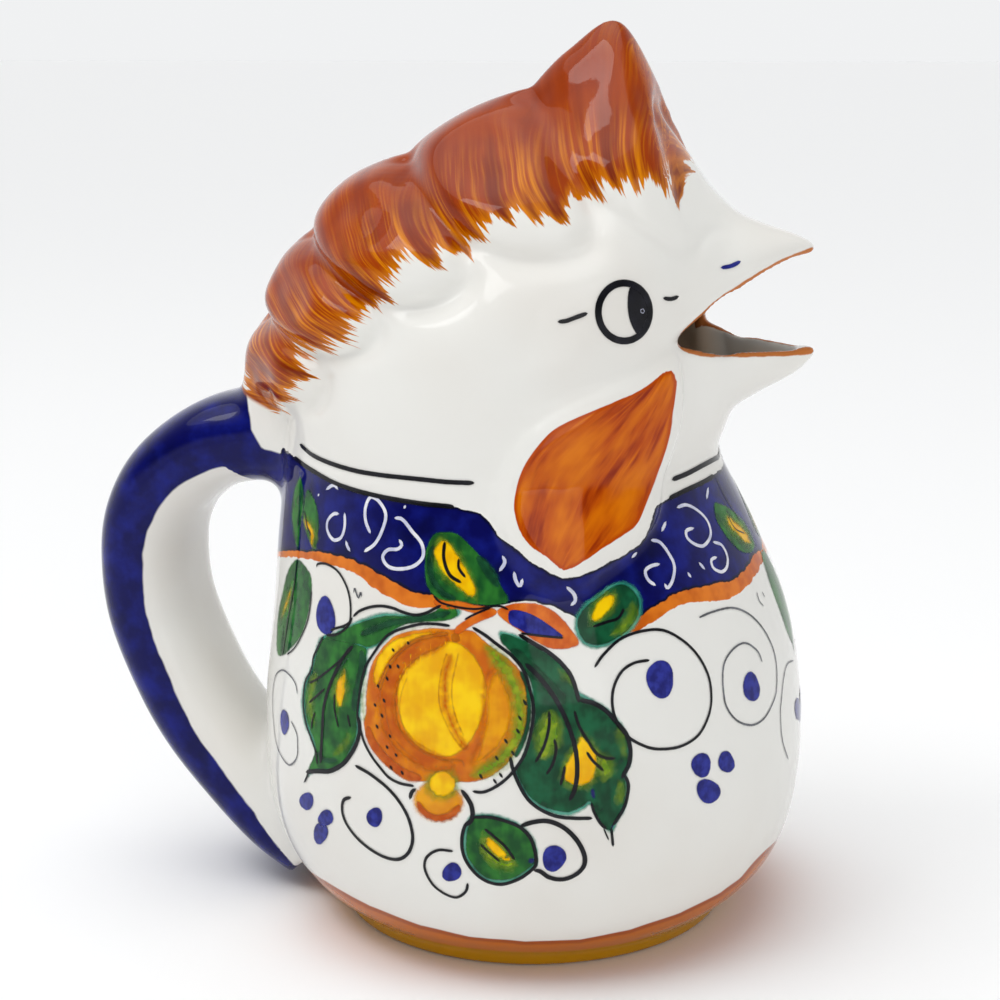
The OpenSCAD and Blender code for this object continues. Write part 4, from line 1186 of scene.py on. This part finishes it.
# Thin lines: widths and pixels
lines = {
    "black": [
        (4.5, [(300, 444), (313, 455), (333, 464), (357, 471), (381, 475), (418, 479), (448, 482),
              (475, 483)]),
        (5, [(671, 480), (686, 474), (705, 464), (720, 456)]),
        (4.5, [(294, 457), (309, 468), (338, 484), (374, 495), (418, 503), (455, 507)]),
        (4.5, [(668, 499), (686, 490), (705, 481), (714, 475)]),
        (3.4, [(445, 541), (444, 558), (450, 575), (462, 583)]),
        (2.8, [(459, 558), (459, 568), (466, 578)]),
        (2.8, [(592, 627), (607, 622), (618, 618), (624, 608)]),
        (1.8, [(715, 476), (725, 497), (740, 522)]),
        (1.8, [(727, 516), (735, 529), (745, 534)]),
        (2.4, [(305, 510), (308, 527), (312, 536)]),
        (2.2, [(433, 595), (442, 603), (473, 609), (499, 606), (509, 610)]),
        (2.2, [(464, 620), (473, 615), (492, 607)]),
        (2.4, [(520, 633), (542, 636), (564, 638)]),
        (3, [(451, 626), (436, 624), (422, 624), (408, 627), (396, 631), (386, 637), (377, 649),
              (368, 663), (363, 676), (361, 688), (359, 702), (358, 716), (361, 730), (365, 743),
              (372, 756), (381, 768), (389, 777), (400, 783), (415, 786)]),
        (3.2, [(472, 627), (485, 635), (498, 645), (511, 655), (520, 665), (526, 676), (530, 690),
              (533, 703), (533, 720), (530, 736), (525, 753), (516, 768), (506, 779), (495, 787),
              (483, 792), (472, 791)]),
        (4, [(417, 788), (412, 792), (410, 800)]),
        (4.6, [(461, 789), (467, 797), (472, 807), (472, 819), (465, 826)]),
        (2.8, [(324, 636), (318, 648), (314, 657), (312, 669), (306, 681), (304, 694), (304, 709),
              (307, 725), (312, 739), (316, 751), (318, 765)]),
        (4.6, [(306, 772), (316, 771), (330, 771), (342, 765), (350, 756), (357, 743), (360, 730),
              (359, 716)]),
        (3, [(309, 771), (307, 778), (304, 783)]),
        (3, [(353, 617), (360, 611), (371, 607), (382, 606), (393, 608), (403, 612), (415, 615),
              (426, 613), (436, 608), (442, 605)]),
        (2.8, [(353, 617), (349, 625), (343, 631), (335, 635), (326, 635)]),
        (2.4, [(330, 631), (340, 627), (347, 627)]),
        (4.2, [(354, 645), (344, 657), (335, 674), (328, 692), (324, 709), (323, 726), (322, 744),
              (321, 764)]),
        (2.6, [(349, 652), (333, 667), (316, 680), (309, 683)]),
        (2.6, [(326, 688), (316, 697), (309, 703)]),
        (2.6, [(335, 693), (335, 709), (339, 728)]),
        (2.6, [(316, 711), (313, 720), (312, 730)]),
        (2.6, [(348, 713), (349, 720), (351, 728)]),
        (2.2, [(312, 590), (311, 604), (308, 621), (301, 638), (294, 649), (287, 655)]),
        (2.8, [(298, 558), (295, 584), (290, 610), (286, 636), (283, 655)]),
        (4, [(518, 634), (533, 643), (548, 652), (561, 663), (571, 676), (576, 690), (579, 703)]),
        (4.4, [(579, 700), (593, 703), (606, 711), (617, 723), (626, 734), (630, 749), (629, 763),
              (621, 779)]),
        (3.6, [(624, 774), (628, 784), (627, 796), (624, 807), (617, 819), (612, 826)]),
        (3, [(611, 827), (612, 837), (613, 847)]),
        (1.8, [(603, 827), (609, 841)]),
        (3.6, [(510, 756), (513, 769), (520, 786), (528, 799), (540, 809), (556, 816), (573, 818),
              (593, 818)]),
        (3, [(591, 802), (594, 812), (601, 824), (607, 829)]),
        (4.4, [(525, 663), (540, 678), (553, 695), (563, 713), (571, 733), (576, 753), (577, 774),
              (574, 791), (569, 801)]),
        (3, [(574, 710), (579, 726), (588, 741), (596, 753), (606, 758), (616, 758)]),
        (3, [(549, 710), (549, 726), (544, 746), (535, 763)]),
        (3, [(554, 738), (556, 749), (553, 763), (546, 775)]),
        (3, [(586, 751), (593, 761), (604, 771)]),
        (3, [(565, 765), (563, 776), (560, 786)]),
        (3.6, [(473, 817), (490, 817), (506, 821), (520, 827), (530, 837), (535, 851), (536, 864),
              (530, 871), (518, 879), (501, 884), (485, 880), (472, 869), (464, 855), (462, 841),
              (465, 826), (472, 819)]),
        (3, [(484, 828), (495, 837), (506, 847), (515, 860)]),
        (2.6, [(480, 843), (488, 851), (495, 857), (501, 862)]),
        (4.6, [(520, 826), (533, 822), (548, 821), (563, 827), (576, 839), (584, 854), (584, 865),
              (576, 874), (563, 879), (549, 877), (540, 871), (533, 870)]),
        (2.6, [(317, 568), (318, 564), (327, 564), (338, 571), (346, 584), (350, 597), (351, 612),
              (349, 623), (331, 630)]),
        (3.6, [(355, 765), (372, 775), (392, 792), (407, 814), (413, 837), (409, 852), (399, 859),
              (383, 856), (363, 843), (349, 827), (343, 813), (344, 800), (352, 797)]),
        (3, [(454, 851), (438, 850), (427, 857), (425, 868), (433, 884), (446, 894), (457, 897),
              (466, 891), (468, 882)]),
        (3, [(594, 668), (603, 655), (622, 638), (649, 630), (668, 632), (692, 649), (707, 673),
              (711, 697), (708, 716), (698, 735), (681, 746), (662, 749), (647, 747), (627, 736),
              (616, 720), (612, 703), (614, 686), (622, 671), (634, 663), (650, 660)]),
        (3.6, [(407, 641), (410, 645)]),
        (3.6, [(392, 648), (395, 652)]),
        (3.6, [(389, 664), (392, 669)]),
        (3.6, [(397, 664), (400, 669)]),
        (3.6, [(386, 676), (389, 681)]),
        (3.6, [(377, 684), (380, 688)]),
        (3.6, [(383, 698), (386, 703)]),
        (3.6, [(374, 703), (377, 707)]),
        (3.6, [(381, 713), (384, 718)]),
        (3.6, [(376, 724), (379, 729)]),
        (3.6, [(389, 734), (392, 738)]),
        (3.6, [(386, 745), (389, 749)]),
        (3.6, [(395, 753), (398, 757)]),
        (3.6, [(390, 765), (393, 770)]),
        (3.6, [(401, 770), (404, 775)]),
        (2.8, [(523, 699), (527, 706)]),
        (2.8, [(518, 715), (522, 721)]),
        (2.8, [(516, 728), (520, 734)]),
        (2.8, [(504, 738), (508, 744)]),
        (2.8, [(511, 750), (515, 756)]),
        (2.8, [(495, 755), (499, 761)]),
        (2.8, [(499, 772), (503, 778)]),
        (2.8, [(493, 778), (497, 784)]),
        (2.8, [(479, 773), (483, 779)]),
    ],
    "white": [
        (3.4, [(326, 490), (334, 485), (339, 490)]),
        (3.4, [(318, 496), (320, 494)]),
        (3.4, [(340, 514), (334, 514), (328, 521), (328, 531), (334, 540), (341, 538), (345, 527),
              (345, 512)]),
        (3.4, [(346, 540), (348, 547), (351, 552)]),
        (3.4, [(371, 534), (366, 521), (366, 507), (371, 497), (379, 501), (386, 514), (383, 529),
              (375, 544), (364, 552)]),
        (3.4, [(404, 509), (406, 505)]),
        (3.4, [(394, 518), (402, 519), (412, 531), (422, 544), (423, 557), (414, 566), (399, 569),
              (388, 566), (383, 557), (388, 550), (398, 549), (402, 545), (399, 539)]),
        (3.4, [(502, 555), (505, 562), (499, 572)]),
        (3.4, [(514, 571), (516, 581), (520, 586), (523, 578)]),
        (3.4, [(566, 586), (574, 594), (575, 601), (570, 606)]),
        (3.4, [(631, 558), (637, 552)]),
        (3.4, [(660, 564), (651, 566), (645, 571), (648, 580), (656, 586)]),
        (3.4, [(650, 540), (659, 542), (668, 553), (674, 566), (672, 581), (667, 588), (664, 583)]),
        (3.4, [(661, 532), (666, 521)]),
        (3.4, [(676, 508), (686, 505), (699, 512), (708, 523), (710, 536), (703, 546), (694, 544),
              (687, 538), (686, 531), (694, 528)]),
        (3.4, [(712, 542), (721, 545), (727, 557), (726, 568), (721, 572), (713, 568), (711, 560),
              (717, 557)]),
        (3.4, [(706, 500), (708, 487)]),
        (3.4, [(698, 562), (705, 570)]),
        (3.4, [(687, 572), (691, 578)]),
    ],
    "grey": [
        (1.8, [(298, 695), (296, 684), (291, 676), (283, 670), (277, 674), (274, 685), (273, 702),
              (274, 723), (277, 744), (283, 758), (290, 765), (297, 758), (298, 744), (297, 733),
              (291, 720)]),
        (2, [(698, 618), (712, 612), (733, 608), (751, 616), (766, 634), (775, 658), (776, 690),
              (771, 706), (763, 719), (752, 725), (739, 722), (729, 712), (724, 699), (723, 667),
              (731, 651), (744, 643), (757, 651), (762, 663)]),
        (1.8, [(794, 660), (787, 664), (783, 680), (781, 699), (780, 712), (782, 740), (788, 760)]),
        (1.6, [(756, 591), (759, 601), (764, 607)]),
        (1.6, [(761, 591), (765, 598)]),
        (1.8, [(354, 594), (355, 588), (357, 594), (359, 598), (361, 592), (362, 598)]),
    ],
    "eye": [
        (4.2, [(557, 322), (566, 321), (577, 317), (588, 313)]),
        (4, [(662, 298), (671, 299), (679, 296)]),
    ],
    "blue": [
        (4.2, [(720, 268), (731, 266), (741, 261)]),
    ]
}
lineLayers = {"white": 4, "blue": 5, "grey": 5, "black": 6, "eye": 6}

# How much wider than traced a pigment ran, as a share or in pixels, and how drawn out its ends are
spread = {"teal": 4.5, "halo": 7.0, "olive": 2.0, "white": 1.1, "grey": 1.4, "line": 1.05,
          "softEnd": 2.0, "lineEnd": 3.0}
brushwork = {name: [] for name in pigments}
for pigment, layer, outline in washes:
    brushwork[pigment].append(washMesh(layer, outline, spread["teal"] if pigment == "teal" else 0.0))
    if pigment == "yellow" and layer == 3:
        brushwork["olive"].append(washMesh(2, outline, spread["halo"]))
for pigment, layer, width, pixels in softStrokes:
    width *= spread["olive"] if pigment == "olive" else 1
    brushwork[pigment].append(strokeMesh(layer, width, pixels, False, spread["softEnd"]))
for i, (across, down, wide, high) in enumerate(dots):
    brushwork["cobalt"].append(washMesh(4, dotOutline(across, down, wide, high, i)))
for pigment, strokes in lines.items():
    layer = lineLayers[pigment]
    for width, pixels in strokes:
        width *= spread.get(pigment, spread["line"])
        stroke = strokeMesh(layer, width, pixels, False, spread["lineEnd"])
        brushwork["black" if pigment == "eye" else pigment].append(stroke)


# Pixels of an oval round a middle
def oval(middle, wide, high, count):
    return [(middle[0] + wide * math.cos(turn), middle[1] + high * math.sin(turn))
            for turn in np.linspace(0, 2 * math.pi, count, endpoint=False)]


# The eye: a black ring on the white glaze, a pupil on the side of the beak and a painted lamp highlight in
# it
eyeMarks = {"middle": (624, 312), "wide": 25.8, "high": 28.9, "ring": 6.8,
            "pupil": [(629, 288), (627, 303), (628, 315), (631, 325), (637, 335), (643, 333), (649, 326),
                      (652, 315), (650, 302), (644, 291), (637, 286)],
            # the last four place and size the painted highlight, a lamp's reflection on the pupil
            "paintedGlint": (642, 311), "paintedGlintWide": 2, "paintedGlintHigh": 2.4, "paintedGlintRing": 1.0}
ring = oval(eyeMarks["middle"], eyeMarks["wide"], eyeMarks["high"], 14)
# painted highlight: a small white ring that stands for a lamp's reflection on the pupil
paintedGlint = oval(eyeMarks["paintedGlint"], eyeMarks["paintedGlintWide"], eyeMarks["paintedGlintHigh"], 7)
brushwork["black"].append(strokeMesh(5, eyeMarks["ring"], ring, True))
brushwork["black"].append(washMesh(5, eyeMarks["pupil"]))
# the painted highlight is laid in white over the pupil
brushwork["white"].append(strokeMesh(7, eyeMarks["paintedGlintRing"], paintedGlint, True))

for name, meshes in brushwork.items():
    if any(meshes):
        paintPiece("paint_" + name, meshes, pigmentGlaze(name))
print("brush marks laid")

floorSize = 40.0
floorMesh = bpy.data.meshes.new("floor")
floorMesh.from_pydata([(-floorSize, -floorSize, 0), (floorSize, -floorSize, 0), (floorSize, floorSize, 0),
                       (-floorSize, floorSize, 0)], [], [(0, 1, 2, 3)])
floor = bpy.data.objects.new("floor", floorMesh)
bpy.context.scene.collection.objects.link(floor)
floor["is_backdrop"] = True
floorPaint = bpy.data.materials.new("white paper sweep")
floorPaint.use_nodes = True
floorPaint.node_tree.nodes["Principled BSDF"].inputs["Base Color"].default_value = linear("#FAFAFA")
floorPaint.node_tree.nodes["Principled BSDF"].inputs["Roughness"].default_value = 0.9
floorMesh.materials.append(floorPaint)

lens = bpy.data.cameras.new("camera")
lens.sensor_width = 36
lens.lens = camera["focal"] / camera["pixels"] * lens.sensor_width
lens.shift_x = (camera["pixels"] / 2 - camera["middle"][0]) / camera["pixels"]
viewer = bpy.data.objects.new("camera", lens)
viewer.location = [v * mm for v in camera["eye"]]
viewer.rotation_euler = (math.pi / 2 - tilt, 0, turn)
bpy.context.scene.collection.objects.link(viewer)
bpy.context.scene.camera = viewer

# A dark room in front of a bright sweep: white behind, dim towards the viewer and overhead apart
# from one broad soft lamp, so that the dark glazes keep their depth and shine only where they turn
# up. From and to are the ends of a change along the way to the back or upwards.
studio = {"above": 0.3, "behind": 0.89, "front": 0.17, "sun": 0.8, "sunWide": 70, "sunWay": (0.25, -0.1, -1),
          "lamp": 1.12, "lampWay": (-0.15, -0.15, 1.0), "lampEdge": 0.72, "lampHeart": 0.99,
          "backFrom": -0.35, "backTo": 0.45, "highFrom": 0.3, "highTo": 0.8, "wallFrom": 0.3, "wallTo": 0.06}
world = bpy.data.worlds.new("studio")
world.use_nodes = True
tree = world.node_tree
way = addNode(tree, "TexCoord").outputs["Generated"]
direction = addNode(tree, "SeparateXYZ", way)
low = addNode(tree, "MapRange", direction.outputs[1], studio["backFrom"], studio["backTo"],
              studio["front"], studio["behind"], **smooth)
high = addNode(tree, "MapRange", direction.outputs[2], studio["highFrom"], studio["highTo"], **smooth)
wall = addNode(tree, "MapRange", direction.outputs[2], studio["wallFrom"], studio["wallTo"], **smooth)
around = addNode(tree, "Mix", wall, low, studio["behind"])
even = addNode(tree, "Mix", high, around, studio["above"])
facing = addNode(tree, "VectorMath", way, Vector(studio["lampWay"]).normalized(), operation="DOT_PRODUCT")
lamp = addNode(tree, "MapRange", facing, studio["lampEdge"], studio["lampHeart"],
               0.0, studio["lamp"], **smooth)
strength = addNode(tree, "Math", even, lamp, **plus)
tree.links.new(strength.outputs[0], tree.nodes["Background"].inputs["Strength"])
tree.nodes["Background"].inputs["Color"].default_value = linear("#FDFEFF")
bpy.context.scene.world = world
bpy.context.scene.view_settings.view_transform = "Standard"


def softbox(name, place, aim, size, power):
    light = bpy.data.lights.new(name, "AREA")
    light.shape = "RECTANGLE"
    light.size, light.size_y = size
    light.energy = power
    lamp = bpy.data.objects.new(name, light)
    lamp.location = place
    lamp.rotation_euler = (Vector(aim) - Vector(place)).to_track_quat("-Z", "Y").to_euler()
    bpy.context.scene.collection.objects.link(lamp)


# Place, size and power of the softboxes, in metres and watts; both aim at the pitcher's belly
softboxes = {"key_light": ((-0.6, -0.4, 1.15), (0.7, 0.3), 2.8),
             "side_light": ((0.55, -1.0, 0.55), (0.6, 0.9), 2.4)}
for name, (place, size, power) in softboxes.items():
    softbox(name, place, (0, 0, 0.1), size, power)
sky = bpy.data.lights.new("top_light", "SUN")
sky.energy, sky.angle = studio["sun"], math.radians(studio["sunWide"])
top = bpy.data.objects.new("top_light", sky)
top.rotation_euler = Vector(studio["sunWay"]).to_track_quat("-Z", "Y").to_euler()
bpy.context.scene.collection.objects.link(top)
print("studio lit")

size = {"cad": [list(map(float, corner)) for corner in cadBox],
        "visual": [list(map(float, corner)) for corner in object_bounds()]}
